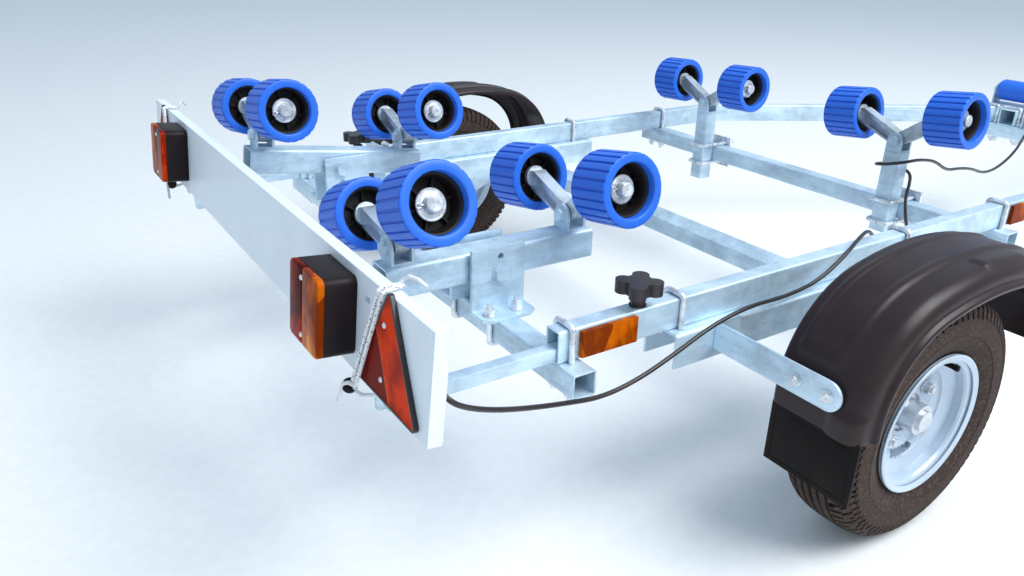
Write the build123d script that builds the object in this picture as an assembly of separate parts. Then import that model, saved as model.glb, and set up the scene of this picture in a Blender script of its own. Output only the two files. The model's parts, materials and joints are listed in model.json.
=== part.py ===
from build123d import *
import math
import os

# Boat trailer with a telescoping lighting board, two rocking roller beams, two fixed roller
# posts and a torsion axle on eight inch wheels.
# Millimetres. +X points forward to the coupling, +Y to the left side, +Z up.
# The pieces are laid out with x = 0 at the rear ends of the side rails and z = 0 on the ground.
# At export they move along X so that the origin lies under the middle of the whole length.

# Side rails
RAIL_HEIGHT = 50.0
RAIL_WIDTH = 30.0
RAIL_WALL = 3.0
RAIL_CORNER = 5.0
RAIL_OUTER_Y = 529.0
RAIL_TOP_Z = 385.0
BEND_X = 1340.0
BEND_ANGLE = 29.0
RAIL_Y = RAIL_OUTER_Y - RAIL_WIDTH / 2
RAIL_BOTTOM_Z = RAIL_TOP_Z - RAIL_HEIGHT
RAIL_Z = RAIL_TOP_Z - RAIL_HEIGHT / 2

# Cross beams under the rails, all of one box section
BEAM_SIZE = 40.0
BEAM_WALL = 3.0
BEAM_CORNER = 5.0
REAR_BEAM_X = 20.0
MIDDLE_BEAM_X = 1125.0
FRONT_BEAM_X = 2150.0
REAR_BEAM_HALF = 565.0
MIDDLE_BEAM_HALF = 560.0
FRONT_BEAM_HALF = 118.0
DRAWBAR_BOLT_X = 2150.0
BEAM_Z = RAIL_BOTTOM_Z - BEAM_SIZE / 2
BEAM_BOTTOM_Z = RAIL_BOTTOM_Z - BEAM_SIZE

# Drawbar
DRAWBAR_SIZE = 50.0
DRAWBAR_WALL = 3.0
DRAWBAR_REAR_X = 2130.0
DRAWBAR_FRONT_X = 4180.0
DRAWBAR_Z = RAIL_BOTTOM_Z + DRAWBAR_SIZE / 2
DRAWBAR_TOP_Z = RAIL_BOTTOM_Z + DRAWBAR_SIZE

# Folded channels under the rails that carry the axle
CHANNEL_WIDTH = 70.0
CHANNEL_DEPTH = 57.0
CHANNEL_WALL = 4.0
CHANNEL_REAR_X = 205.0
CHANNEL_FRONT_X = 845.0
CHANNEL_BOTTOM_Z = RAIL_BOTTOM_Z - CHANNEL_DEPTH
CHANNEL_OUTER_Y = RAIL_Y + CHANNEL_WIDTH / 2

# Axle, suspension arms and wheels
AXLE_X = 655.0
AXLE_Z = 280.0
AXLE_FLATS = 52.0
AXLE_WALL = 5.0
AXLE_HALF = 618.0
SADDLE_THICK = 6.0
SADDLE_MARGIN = 16.0
ARM_THICK = 20.0
WHEEL_X = 518.0
TYRE_RADIUS = 208.0
TYRE_WIDTH = 122.0
WHEEL_Z = TYRE_RADIUS
WHEEL_Y = 734.0
RIM_WIDTH = 106.0
RIM_FLANGE_RADIUS = 116.0
RIM_SEAT_RADIUS = 101.5
RIM_WELL_RADIUS = 82.0
RIM_WALL = 3.0
DISC_OFFSET = 14.0
DISC_THICK = 4.0
DISC_DISH = 6.0
DISC_BORE = 33.5
DISC_FLAT = 63.0
SLOT_RADIUS = 71.0
SLOT_HALF_ANGLE = 17.0
SLOT_HALF_WIDTH = 7.0
CAP_RADIUS = 25.0
CAP_OUT = 41.0
CAP_DOME_RADIUS = 17.0
CAP_DOME_OUT = 47.0
STUD_CIRCLE = 101.6
STUD_COUNT = 4
STUD_RADIUS = 6.0
SPINDLE_RADIUS = 14.0
RUNNING_GAP = 0.05
SEAT_GAP = 0.3

# U bolts
U_BAR = 9.0
U_CORNER = 8.0
NUT_ACROSS = 17.0
NUT_HEIGHT = 9.0
HOLE_PLAY = 0.5

# Rocking roller beams
ROCKER_SIZE = 50.0
ROCKER_WALL = 3.0
ROCKER_HALF = 187.0
BRACKET_X = 24.0
ROCKER_RISE = 12.0
ROCKER_PAIR_X = 157.0
ROCKER_BOLT = 16.0
ROCKER_SIDE_PLAY = 5.0
PLATE_THICK = 6.0
PLATE_WIDTH = 95.0
PLATE_TOP_Z = 441.0
FOOT_WIDTH = 42.0

# Roller posts
POST_SIZE = 40.0
POST_WALL = 3.0
POST_LENGTH = 182.0

# Roller pairs on cranked arms
ROLLER_RADIUS = 57.0
ROLLER_WIDTH = 80.0
TREAD_THICK = 15.0
INNER_RECESS = 24.5
OUTER_RECESS = 30.5
ROLLER_OFFSET = 120.0
ROLLER_RISE = 52.0
ROLLER_AXLE = 24.0
RIB_COUNT = 24
RIB_DEPTH = 2.5
FORK_GAP = 28.0
EAR_THICK = 5.0
EAR_WIDTH = 36.0
FORK_HEIGHT = 25.0
CRANK_BOLT = 12.0
CRANK_WIDTH = 26.0

# Mudguards
GUARD_X = 560.0
GUARD_Y = 741.0
GUARD_WIDTH = 150.0
GUARD_HALF_LENGTH = 270.0
GUARD_TOP_Z = 468.0
GUARD_END_Z = 260.0
GUARD_CROWN_RADIUS = 560.0
GUARD_CORNER = 175.0
GUARD_WALL = 4.0
GUARD_OUTER_SKIRT = 36.0
GUARD_INNER_SKIRT = 13.0
GUARD_OUTER_EDGE = 26.0
GUARD_INNER_EDGE = 10.0
GUARD_LIP = 10.0
GUARD_BAND_IN = 20.0
GUARD_BAND_OUT = 95.0
GUARD_BAND_RISE = 3.0
FLAP_THICK = 5.0
FLAP_BOTTOM_Z = 160.0
STAY_HEIGHT = 46.0
STAY_THICK = 5.0
STAY_Z = 313.0
STAY_END_Y = 748.0

# Lighting board
BOARD_LENGTH = 1336.0
BOARD_HEIGHT = 137.0
BOARD_THICK = 19.0
BOARD_X = -258.0
BOARD_Z = 446.5
BOARD_LEAN = 5.4
BOARD_HOLE_Y = 503.0
ARM_TUBE = 20.0
ARM_TUBE_WALL = 2.0
ARM_TUBE_END_X = 700.0
KNOB_X = 152.0
KNOB_RADIUS = 34.0
KNOB_LIFT = 20.0
LAMP_WIDTH = 98.0
LAMP_HEIGHT = 104.0
LAMP_DEPTH = 41.0
LENS_DEPTH = 9.0
RED_SHARE = 0.45
LAMP_Y = 428.0
TRIANGLE_SIDE = 154.0
TRIANGLE_Y = 557.0

# Keel roller, winch post, coupling and jockey wheel
KEEL_X = 2202.0
KEEL_Z = 432.0
KEEL_RADIUS = 32.0
KEEL_LENGTH = 150.0
WINCH_POST_X = 3560.0
WINCH_POST_TOP_Z = 990.0
WINCH_POST_SIZE = 50.0
COUPLING_BALL = 50.0
COUPLING_X = 4260.0
JOCKEY_X = 3960.0
JOCKEY_OUTER_RADIUS = 24.0
JOCKEY_WALL = 2.5
JOCKEY_TUBE_BOTTOM_Z = 300.0
JOCKEY_TUBE_TOP_Z = 720.0
JOCKEY_WHEEL_RADIUS = 100.0
JOCKEY_WHEEL_WIDTH = 55.0
JOCKEY_TRAIL = 45.0
JOCKEY_PLATE = 8.0
JOCKEY_Y = DRAWBAR_SIZE / 2 + JOCKEY_PLATE + JOCKEY_OUTER_RADIUS + 4.0

# side name, beam y, pivot x, pivot z, beam pitch, tilt of rear pair, tilt of front pair (degrees)
ROCKERS = [
    ("right", -298.0, 28.0, 397.0, 0.4, -19.7, -9.6),
    ("left", 302.0, 12.0, 416.5, 7.4, -8.4, -12.1),
]
# side name, post y, height of the fork's bolt, tilt of the pair (degrees)
POSTS = [
    ("right", -296.0, 475.0, -6.7),
    ("left", 281.0, 453.0, -3.1),
]
SIDES = [("right", -1), ("left", 1)]


def block(x0, x1, y0, y1, z0, z1):
    """Box between two corners."""
    place = Pos((x0 + x1) / 2, (y0 + y1) / 2, (z0 + z1) / 2)
    return place * Box(abs(x1 - x0), abs(y1 - y0), abs(z1 - z0))


def bar(start, end, radius):
    """Round bar between two points."""
    a, b = Vector(*start), Vector(*end)
    return extrude(Plane(origin=a, z_dir=b - a) * Circle(radius), amount=(b - a).length)


def ring(start, end, outer, inner):
    """Round tube between two points."""
    a, b = Vector(*start), Vector(*end)
    face = Plane(origin=a, z_dir=b - a) * (Circle(outer) - Circle(inner))
    return extrude(face, amount=(b - a).length)


def box_tube(start, end, width, height, wall, corner, up=(0, 0, 1)):
    """Open ended rectangular tube between two points, height along up."""
    a, b = Vector(*start), Vector(*end)
    plane = Plane(origin=a, x_dir=Vector(*up).cross(b - a), z_dir=b - a)
    outer = RectangleRounded(width, height, corner)
    inner = RectangleRounded(width - 2 * wall, height - 2 * wall, corner - wall)
    return extrude(plane * (outer - inner), amount=(b - a).length)


def nut(start, direction, across=NUT_ACROSS, height=NUT_HEIGHT):
    """Hexagon nut that stands on a point, with its washer."""
    a, d = Vector(*start), Vector(*direction).normalized()
    washer = extrude(Plane(origin=a, z_dir=d) * Circle(across * 0.65), amount=2.0)
    top = a + d * 2.0
    body = extrude(Plane(origin=top, z_dir=d) * RegularPolygon(across / 2, 6, major_radius=False), amount=height)
    return washer + body


def u_bolt(centre, span, legs, half_gap, leg_length, nut_at):
    """U bolt: bridge centre, unit span and leg directions, half gap, leg length, nut distance."""
    c, s, d = Vector(*centre), Vector(*span), Vector(*legs)
    h = half_gap + U_BAR / 2
    points = [c - s * h + d * leg_length, c - s * h, c + s * h, c + s * h + d * leg_length]
    path = FilletPolyline(*points, radius=U_CORNER)
    body = sweep(Plane(origin=path @ 0, z_dir=path % 0) * Circle(U_BAR / 2), path=path)
    for side in (-1, 1):
        seat = c + s * (h * side) + d * nut_at
        body = body + nut(tuple(seat), tuple(d))
    return body


def union(shapes):
    """Group of solids that don't touch."""
    solids = []
    for shape in shapes:
        solids += list(shape.solids())
    return Compound(children=solids) if len(solids) > 1 else solids[0]


def rail_strip(half_width, rear_x, y_cut):
    """Plan outline of the left rail: straight, then bent in towards the drawbar."""
    turn = math.radians(BEND_ANGLE)
    mitre = half_width * math.tan(turn / 2)
    length = (RAIL_Y - y_cut) / math.sin(turn)
    points = []
    for side in (1, -1):
        bend = (BEND_X + side * mitre, RAIL_Y + side * half_width)
        reach = length + side * half_width / math.tan(turn)
        far = (BEND_X + side * half_width * math.sin(turn) + reach * math.cos(turn),
               RAIL_Y + side * half_width * math.cos(turn) - reach * math.sin(turn))
        points.append([(rear_x, RAIL_Y + side * half_width), bend, far])
    return points[0] + points[1][::-1]


def side_rail():
    """Left side rail, a bent rectangular tube with open ends, cut to the drawbar's side."""
    outer = make_face(Polyline(*rail_strip(RAIL_WIDTH / 2, 0, DRAWBAR_SIZE / 2 + SEAT_GAP), close=True))
    inner_half = RAIL_WIDTH / 2 - RAIL_WALL
    inner = make_face(Polyline(*rail_strip(inner_half, -10, DRAWBAR_SIZE / 2 - 20), close=True))
    body = Pos(0, 0, RAIL_BOTTOM_Z) * extrude(outer, amount=RAIL_HEIGHT)
    long_edges = [e for e in body.edges() if e.length > 700]
    body = fillet(long_edges, RAIL_CORNER - 1.0)
    hollow = Pos(0, 0, RAIL_BOTTOM_Z + RAIL_WALL) * extrude(inner, amount=RAIL_HEIGHT - 2 * RAIL_WALL)
    body = body - hollow
    knob_hole = bar((KNOB_X, RAIL_Y, RAIL_TOP_Z - 10), (KNOB_X, RAIL_Y, RAIL_TOP_Z + 5), 6.0)
    return body - knob_hole


def mirrored(shape):
    """The same piece on the right side."""
    return mirror(shape, about=Plane.XZ)


def leg_holes(x, y, half_gap, z0, z1, axis="y"):
    """Two vertical holes for the legs of a U bolt."""
    h = half_gap + U_BAR / 2
    radius = U_BAR / 2 + HOLE_PLAY
    holes = []
    for side in (-1, 1):
        px, py = (x, y + side * h) if axis == "y" else (x + side * h, y)
        holes.append(bar((px, py, z0), (px, py, z1), radius))
    return holes


RAIL_HALF_GAP = RAIL_WIDTH / 2 + SEAT_GAP
FRONT_RAIL_Y = RAIL_Y - (FRONT_BEAM_X - BEND_X) * math.tan(math.radians(BEND_ANGLE))
FRONT_HALF_GAP = RAIL_WIDTH / 2 / math.cos(math.radians(BEND_ANGLE)) + 1.5


def cross_beam(x, half, y_bolt, half_gap):
    """Box section cross beam with holes for the rail U bolts."""
    body = box_tube((x, -half, BEAM_Z), (x, half, BEAM_Z), BEAM_SIZE, BEAM_SIZE, BEAM_WALL, BEAM_CORNER)
    holes = leg_holes(x, y_bolt, half_gap, BEAM_BOTTOM_Z - 5, RAIL_BOTTOM_Z + 5)
    holes += leg_holes(x, -y_bolt, half_gap, BEAM_BOTTOM_Z - 5, RAIL_BOTTOM_Z + 5)
    if x == FRONT_BEAM_X:
        holes += leg_holes(DRAWBAR_BOLT_X, 0, DRAWBAR_SIZE / 2 + SEAT_GAP, BEAM_BOTTOM_Z - 5, RAIL_BOTTOM_Z + 5)
    for hole in holes:
        body = body - hole
    return body


def drawbar():
    """Central square tube from the front beam to the coupling."""
    return box_tube((DRAWBAR_REAR_X, 0, DRAWBAR_Z), (DRAWBAR_FRONT_X, 0, DRAWBAR_Z),
                    DRAWBAR_SIZE, DRAWBAR_SIZE, DRAWBAR_WALL, RAIL_CORNER)


def hexagon(flats, x, z):
    """Hexagon with level top and bottom flats, drawn in the plane y = 0."""
    return Plane(origin=(x, 0, z), x_dir=(1, 0, 0), z_dir=(0, -1, 0)) * RegularPolygon(
        flats / 2, 6, major_radius=False, rotation=30)


def axle_solid(flats, half):
    """Solid hexagonal bar across the trailer at the axle's place."""
    return extrude(hexagon(flats, AXLE_X, AXLE_Z), amount=half, both=True)


def channel():
    """Left folded channel, open below, with notches that seat the axle tube."""
    w, d, t = CHANNEL_WIDTH / 2, CHANNEL_DEPTH, CHANNEL_WALL
    section = Plane(origin=(CHANNEL_REAR_X, RAIL_Y, RAIL_BOTTOM_Z), x_dir=(0, 1, 0), z_dir=(1, 0, 0))
    outer = Polyline((-w, -d), (-w, 0), (w, 0), (w, -d), (w - t, -d), (w - t, -t), (-w + t, -t), (-w + t, -d),
                     close=True)
    face = fillet(make_face(outer).vertices().filter_by(lambda v: abs(v.Y) < 0.01), 6.0)
    body = extrude(section * face, amount=CHANNEL_FRONT_X - CHANNEL_REAR_X)
    body = body - axle_solid(AXLE_FLATS + 2 * SEAT_GAP, AXLE_HALF + 20)
    for x in CHANNEL_BOLTS:
        for hole in leg_holes(x, RAIL_Y, RAIL_HALF_GAP, RAIL_BOTTOM_Z - 10, RAIL_BOTTOM_Z + 5):
            body = body - hole
    return body


CHANNEL_BOLTS = [226.0, 790.0]


def axle_tube():
    """Hexagonal axle tube with a welded saddle plate outside each channel web."""
    body = axle_solid(AXLE_FLATS, AXLE_HALF) - axle_solid(AXLE_FLATS - 2 * AXLE_WALL, AXLE_HALF + 5)
    for side in (-1, 1):
        for web in (-1, 1):
            face_y = RAIL_Y + web * (CHANNEL_WIDTH / 2 + SEAT_GAP)
            y0, y1 = sorted((side * face_y, side * (face_y + web * SADDLE_THICK)))
            plate = block(AXLE_X - 34, AXLE_X + 34, y0, y1, AXLE_Z - SADDLE_MARGIN, RAIL_BOTTOM_Z - 8)
            body = body + (plate - axle_solid(AXLE_FLATS - 4, AXLE_HALF))
    return body


def suspension_arm():
    """Left trailing arm with its spindle."""
    y0 = AXLE_HALF
    plane = Plane(origin=(0, y0, 0), x_dir=(1, 0, 0), z_dir=(0, -1, 0))
    outline = make_hull(
        (Pos(AXLE_X, AXLE_Z) * Circle(34)).edges() + (Pos(WHEEL_X, WHEEL_Z) * Circle(24)).edges())
    plate = extrude(plane * outline, amount=-ARM_THICK)
    spindle = bar((WHEEL_X, y0 + ARM_THICK - 2, WHEEL_Z), (WHEEL_X, WHEEL_Y + 30, WHEEL_Z), SPINDLE_RADIUS)
    core = extrude(Plane(origin=(AXLE_X, y0 - 60, AXLE_Z), z_dir=(0, 1, 0)) * RegularPolygon(
        (AXLE_FLATS - 2 * AXLE_WALL) / 2 - 4, 6, major_radius=False), amount=62)
    return plate + spindle + core


def spun(points, side):
    """Solid turned about the wheel's axle, from pairs of radius and offset along +Y."""
    face = make_face(Plane(origin=(WHEEL_X, side * WHEEL_Y, WHEEL_Z), x_dir=(1, 0, 0),
                           z_dir=(0, 0, 1)) * Polyline(*points, close=True))
    return revolve(face, axis=Axis((WHEEL_X, side * WHEEL_Y, WHEEL_Z), (0, 1, 0)))


def tyre(side):
    """Hollow tyre carcass, open at the beads."""
    w = TYRE_WIDTH / 2
    s, r = RIM_SEAT_RADIUS, TYRE_RADIUS
    bead = RIM_WIDTH / 2 - 10.0
    outer = [(s + 0.3, -bead), (RIM_FLANGE_RADIUS + 2, -bead - 1), (s + 38, -w + 1), (s + 62, -w), (r - 16, -w + 5),
             (r - 4, -w + 14), (r, -w + 28), (r, w - 28), (r - 4, w - 14), (r - 16, w - 5), (s + 62, w),
             (s + 38, w - 1), (RIM_FLANGE_RADIUS + 2, bead + 1), (s + 0.3, bead)]
    inner = [(s + 0.3, bead - 12), (s + 20, bead - 9), (s + 38, w - 9), (s + 62, w - 8), (r - 20, w - 14),
             (r - 11, w - 26), (r - 11, -w + 26), (r - 20, -w + 14), (s + 62, -w + 8), (s + 38, -w + 9),
             (s + 20, -bead + 9), (s + 0.3, -bead + 12)]
    return spun([(p[0], p[1]) for p in outer + inner], side)


def disc_hole(side, radius, turn, x_off=0.0):
    """Round cutter through the wheel disc, given in polar form about the axle."""
    px = WHEEL_X + radius * math.cos(turn) + x_off
    pz = WHEEL_Z + radius * math.sin(turn)
    y0 = side * (WHEEL_Y + DISC_OFFSET - DISC_THICK - 3)
    y1 = side * (WHEEL_Y + DISC_OFFSET + DISC_DISH + 3)
    return px, pz, y0, y1


def rim(side):
    """Pressed steel wheel: drop centre rim with a dished disc, four bolt holes and two slots."""
    w, t = RIM_WIDTH / 2, RIM_WALL
    f, s, d = RIM_FLANGE_RADIUS, RIM_SEAT_RADIUS, RIM_WELL_RADIUS
    top = [(f, -w), (f, -w + t), (s + 5, -w + 5), (s, -w + 9), (s, -w + 24), (d, -w + 34), (d, w - 34), (s, w - 24),
           (s, w - 9), (s + 5, w - 5), (f, w - t), (f, w)]
    bottom = [(f - t, w), (s - t + 2, w - 4), (s - t, w - 8), (s - t, w - 22), (d - t, w - 32), (d - t, -w + 32),
              (s - t, -w + 22), (s - t, -w + 8), (s - t + 2, -w + 4), (f - t, -w)]
    shell = spun(top + bottom, side)
    face, back, rise = side * DISC_OFFSET, side * (DISC_OFFSET - DISC_THICK), side * DISC_DISH
    flat, edge = DISC_FLAT, RIM_WELL_RADIUS - 1.0
    disc = spun([(DISC_BORE, face), (flat, face), (flat + 8, face + rise), (edge, face + rise), (edge, back + rise),
                 (flat + 8, back + rise), (flat, back), (DISC_BORE, back)], side)
    for k in range(STUD_COUNT):
        px, pz, y0, y1 = disc_hole(side, STUD_CIRCLE / 2, 2 * math.pi * (k + 0.5) / STUD_COUNT)
        disc = disc - bar((px, y0, pz), (px, y1, pz), STUD_RADIUS + 0.5)
    for k in (-1, 1):
        for step in range(-2, 3):
            turn = math.radians(90 * k + SLOT_HALF_ANGLE * step / 2)
            px, pz, y0, y1 = disc_hole(side, SLOT_RADIUS, turn)
            disc = disc - bar((px, y0, pz), (px, y1, pz), SLOT_HALF_WIDTH)
    return shell + disc


def hub(side):
    """Bearing hub with flange, studs, nuts and dust cap."""
    disc_inner = WHEEL_Y + DISC_OFFSET - DISC_THICK - SEAT_GAP
    start = AXLE_HALF + ARM_THICK + 6

    def at(y):
        return (WHEEL_X, side * y, WHEEL_Z)

    body = bar(at(start), at(disc_inner - 4), 34.0)
    body = body + bar(at(disc_inner - 9), at(disc_inner), 66.0)
    body = body + bar(at(disc_inner - 1), at(WHEEL_Y + CAP_OUT), CAP_RADIUS)
    body = body + bar(at(WHEEL_Y + CAP_OUT - 1), at(WHEEL_Y + CAP_DOME_OUT), CAP_DOME_RADIUS)
    body = body - bar(at(start - 5), at(WHEEL_Y + 31), SPINDLE_RADIUS + RUNNING_GAP)
    disc_outer = WHEEL_Y + DISC_OFFSET
    for k in range(STUD_COUNT):
        turn = 2 * math.pi * (k + 0.5) / STUD_COUNT
        px = WHEEL_X + STUD_CIRCLE / 2 * math.cos(turn)
        pz = WHEEL_Z + STUD_CIRCLE / 2 * math.sin(turn)
        body = body + bar((px, side * (disc_inner - 5), pz), (px, side * (disc_outer + 16), pz), STUD_RADIUS)
        body = body + nut((px, side * (disc_outer + SEAT_GAP), pz), (0, side, 0), 19.0, 10.0)
    return body


def guard_outline(shrink):
    """Side view of a mudguard: arched top, round corners and upright ends, shrunk by an offset."""
    half = GUARD_HALF_LENGTH - shrink
    top = GUARD_TOP_Z - shrink
    low = GUARD_END_Z - 40
    crown = GUARD_CROWN_RADIUS - shrink
    sag = crown - math.sqrt(crown * crown - half * half)
    rear, front = GUARD_X - half, GUARD_X + half
    arch = ThreePointArc((rear, top - sag), (GUARD_X, top), (front, top - sag))
    sides = Polyline((front, top - sag), (front, low), (rear, low), (rear, top - sag))
    face = make_face(arch.edges() + sides.edges())
    corners = [v for v in face.vertices() if v.Y > low + 1]
    return fillet(corners, GUARD_CORNER - shrink)


def guard_prism(shrink, y0, y1):
    """Solid of the mudguard's outline between two distances from the middle plane."""
    plane = Plane(origin=(0, y0, 0), x_dir=(1, 0, 0), z_dir=(0, -1, 0))
    return extrude(plane * guard_outline(shrink), amount=-(y1 - y0))


def guard_edges(shape, y):
    """Edges of a mudguard solid along the outline at one side face."""
    return [e for e in shape.edges() if abs(e.center().Y - y) < 0.01 and e.center().Z > GUARD_END_Z - 39]


def mudguard():
    """Left mudguard: arched shell with a raised crown band, skirts and a rolled lip."""
    inner_y, outer_y = GUARD_Y - GUARD_WIDTH / 2, GUARD_Y + GUARD_WIDTH / 2
    wall = GUARD_WALL
    outer = guard_prism(0, inner_y, outer_y)
    outer = fillet(guard_edges(outer, outer_y), GUARD_OUTER_EDGE)
    outer = fillet(guard_edges(outer, inner_y), GUARD_INNER_EDGE)
    hollow = guard_prism(wall, inner_y + wall, outer_y - wall)
    hollow = fillet(guard_edges(hollow, outer_y - wall), GUARD_OUTER_EDGE - wall)
    hollow = fillet(guard_edges(hollow, inner_y + wall), GUARD_INNER_EDGE - wall)
    outer_mouth = guard_prism(GUARD_OUTER_SKIRT, GUARD_Y, outer_y + 20)
    inner_mouth = guard_prism(GUARD_INNER_SKIRT, inner_y - 20, GUARD_Y)
    body = outer - hollow - outer_mouth - inner_mouth
    lip = guard_prism(GUARD_OUTER_SKIRT - GUARD_LIP, outer_y - 3, outer_y + 5)
    lip = lip - guard_prism(GUARD_OUTER_SKIRT, outer_y - 10, outer_y + 10)
    band = guard_prism(-GUARD_BAND_RISE, inner_y + GUARD_BAND_IN, inner_y + GUARD_BAND_OUT)
    band = band - guard_prism(wall / 2, inner_y, outer_y)
    band = band - block(0, 2000, 0, 1000, 0, STAY_Z + STAY_HEIGHT / 2 + 6)
    body = body + lip + band
    for end in (-1, 1):
        face = GUARD_X + end * GUARD_HALF_LENGTH
        pad = block(face, face - end * 7, inner_y + 12, outer_y - 42, STAY_Z - 26, STAY_Z + 26)
        body = body + pad
    return body - block(0, 1200, inner_y - 20, outer_y + 20, 0, GUARD_END_Z)


def mud_flap():
    """Left rubber flap inside the mudguard's rear end."""
    x0 = GUARD_X - GUARD_HALF_LENGTH + 7 + SEAT_GAP
    half = GUARD_WIDTH / 2
    flap = Box(FLAP_THICK, GUARD_WIDTH - 2, GUARD_END_Z + 30 - FLAP_BOTTOM_Z)
    flap = fillet(flap.edges().filter_by(Axis.X).group_by(Axis.Z)[0], 10.0)
    flap = Pos(x0 + FLAP_THICK / 2, GUARD_Y, (GUARD_END_Z + 30 + FLAP_BOTTOM_Z) / 2) * flap
    inset = GUARD_WALL + GUARD_OUTER_EDGE / 2
    slot = block(x0 - 1, x0 + FLAP_THICK + 1, GUARD_Y + half - inset, GUARD_Y + half + 5,
                 GUARD_END_Z - 1, GUARD_END_Z + 40)
    return flap - slot - mirror(slot, about=Plane.XZ.offset(-GUARD_Y))


def guard_stays():
    """Rear and front flat bar stays of the left mudguard."""
    stays = []
    for end in (-1, 1):
        x1 = GUARD_X + end * (GUARD_HALF_LENGTH + SEAT_GAP)
        x2 = x1 + end * STAY_THICK
        y0 = CHANNEL_OUTER_Y + SEAT_GAP
        low, high = STAY_Z - STAY_HEIGHT / 2, STAY_Z + STAY_HEIGHT / 2
        flat = block(min(x1, x2), max(x1, x2), y0, STAY_END_Y, low, high)
        flat = flat + bar((min(x1, x2), STAY_END_Y, STAY_Z), (max(x1, x2), STAY_END_Y, STAY_Z), STAY_HEIGHT / 2)
        xl = x2 - end * 52
        leg = block(min(x2, xl), max(x2, xl), y0, y0 + STAY_THICK, low, high)
        stays.append(flat + leg)
    return stays


def fork(x, y, base_z, pivot_z):
    """Two ears across the trailer's length with the crank's bolt between them."""
    body = None
    for side in (-1, 1):
        x0 = x + side * FORK_GAP / 2
        x1 = x0 + side * EAR_THICK
        lo, hi = min(x0, x1), max(x0, x1)
        ear = block(lo, hi, y - EAR_WIDTH / 2, y + EAR_WIDTH / 2, base_z - 1, pivot_z)
        ear = ear + bar((lo, y, pivot_z), (hi, y, pivot_z), EAR_WIDTH / 2)
        body = ear if body is None else body + ear
    reach = FORK_GAP / 2 + EAR_THICK
    body = body + block(x - reach, x + reach, y - EAR_WIDTH / 2, y + EAR_WIDTH / 2, base_z - 1, base_z + 4)
    body = body + bar((x - reach - 8, y, pivot_z), (x + reach + 12, y, pivot_z), CRANK_BOLT / 2)
    body = body + nut((x + reach, y, pivot_z), (1, 0, 0), 19.0, 8.0)
    return body + nut((x - reach, y, pivot_z), (-1, 0, 0), 19.0, 6.0)


def rocker_beam(y, px, pz):
    """Level rocking beam with a fork at each end and a pivot bush."""
    z = pz + ROCKER_RISE
    body = box_tube((px - ROCKER_HALF, y, z), (px + ROCKER_HALF, y, z), ROCKER_SIZE, ROCKER_SIZE, ROCKER_WALL, 6.0)
    top = z + ROCKER_SIZE / 2
    for side in (-1, 1):
        body = body + fork(px + side * ROCKER_PAIR_X, y, top, top + FORK_HEIGHT)
    half = ROCKER_SIZE / 2 + 2
    bush = bar((px, y - half, pz), (px, y + half, pz), ROCKER_BOLT / 2 + 5)
    hole = bar((px, y - 60, pz), (px, y + 60, pz), ROCKER_BOLT / 2 + RUNNING_GAP)
    return body + bush - hole


def rocker_bracket(y, px, pz):
    """Two footed plates either side of a rocking beam, joined by the pivot bolt."""
    gap = ROCKER_SIZE / 2 + ROCKER_SIDE_PLAY
    body = None
    spare_z = pz + 28 if pz < 410 else pz - 28
    for side in (-1, 1):
        y0 = y + side * gap
        y1 = y0 + side * PLATE_THICK
        foot_y = y1 + side * FOOT_WIDTH
        x0, x1 = BRACKET_X - PLATE_WIDTH / 2, BRACKET_X + PLATE_WIDTH / 2
        plate = block(x0, x1, min(y0, y1), max(y0, y1), RAIL_BOTTOM_Z, PLATE_TOP_Z)
        foot = block(x0, x1, min(y0, foot_y), max(y0, foot_y), RAIL_BOTTOM_Z, RAIL_BOTTOM_Z + PLATE_THICK)
        tips = [e for e in foot.edges().filter_by(Axis.Z) if abs(e.center().Y - foot_y) < 0.01]
        piece = plate + chamfer(tips, 9.0, 14.0)
        for hole in leg_holes(REAR_BEAM_X, y1 + side * FOOT_WIDTH / 2, BEAM_SIZE / 2 + SEAT_GAP,
                              RAIL_BOTTOM_Z - 5, RAIL_BOTTOM_Z + PLATE_THICK + 5, axis="x"):
            piece = piece - hole
        piece = piece - bar((px, min(y0, y1) - 1, spare_z), (px, max(y0, y1) + 1, spare_z), 5.0)
        body = piece if body is None else body + piece
    reach = gap + PLATE_THICK
    body = body + bar((px, y - reach - 8, pz), (px, y + reach + 14, pz), ROCKER_BOLT / 2)
    body = body + nut((px, y + reach, pz), (0, 1, 0), 24.0, 10.0)
    return body + nut((px, y - reach, pz), (0, -1, 0), 24.0, 8.0)


def bracket_u_bolts(y):
    """U bolts that come up round the rear beam through the bracket's feet."""
    gap = ROCKER_SIZE / 2 + ROCKER_SIDE_PLAY + PLATE_THICK + FOOT_WIDTH / 2
    bolts = []
    for side in (-1, 1):
        base = (REAR_BEAM_X, y + side * gap, BEAM_BOTTOM_Z - SEAT_GAP - U_BAR / 2)
        seat = RAIL_BOTTOM_Z + PLATE_THICK + SEAT_GAP - base[2]
        bolts.append(u_bolt(base, (1, 0, 0), (0, 0, 1), BEAM_SIZE / 2 + SEAT_GAP, seat + 20, seat))
    return bolts


POST_X = MIDDLE_BEAM_X - BEAM_SIZE / 2 - SEAT_GAP - POST_SIZE / 2


def roller_post(y, pivot_z):
    """Upright tube with a fork on top, open at the bottom."""
    top = pivot_z - FORK_HEIGHT
    bottom = top - POST_LENGTH
    body = box_tube((POST_X, y, bottom), (POST_X, y, top), POST_SIZE, POST_SIZE, POST_WALL, 5.0, up=(0, 1, 0))
    return body + fork(POST_X, y, top, pivot_z)


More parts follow.
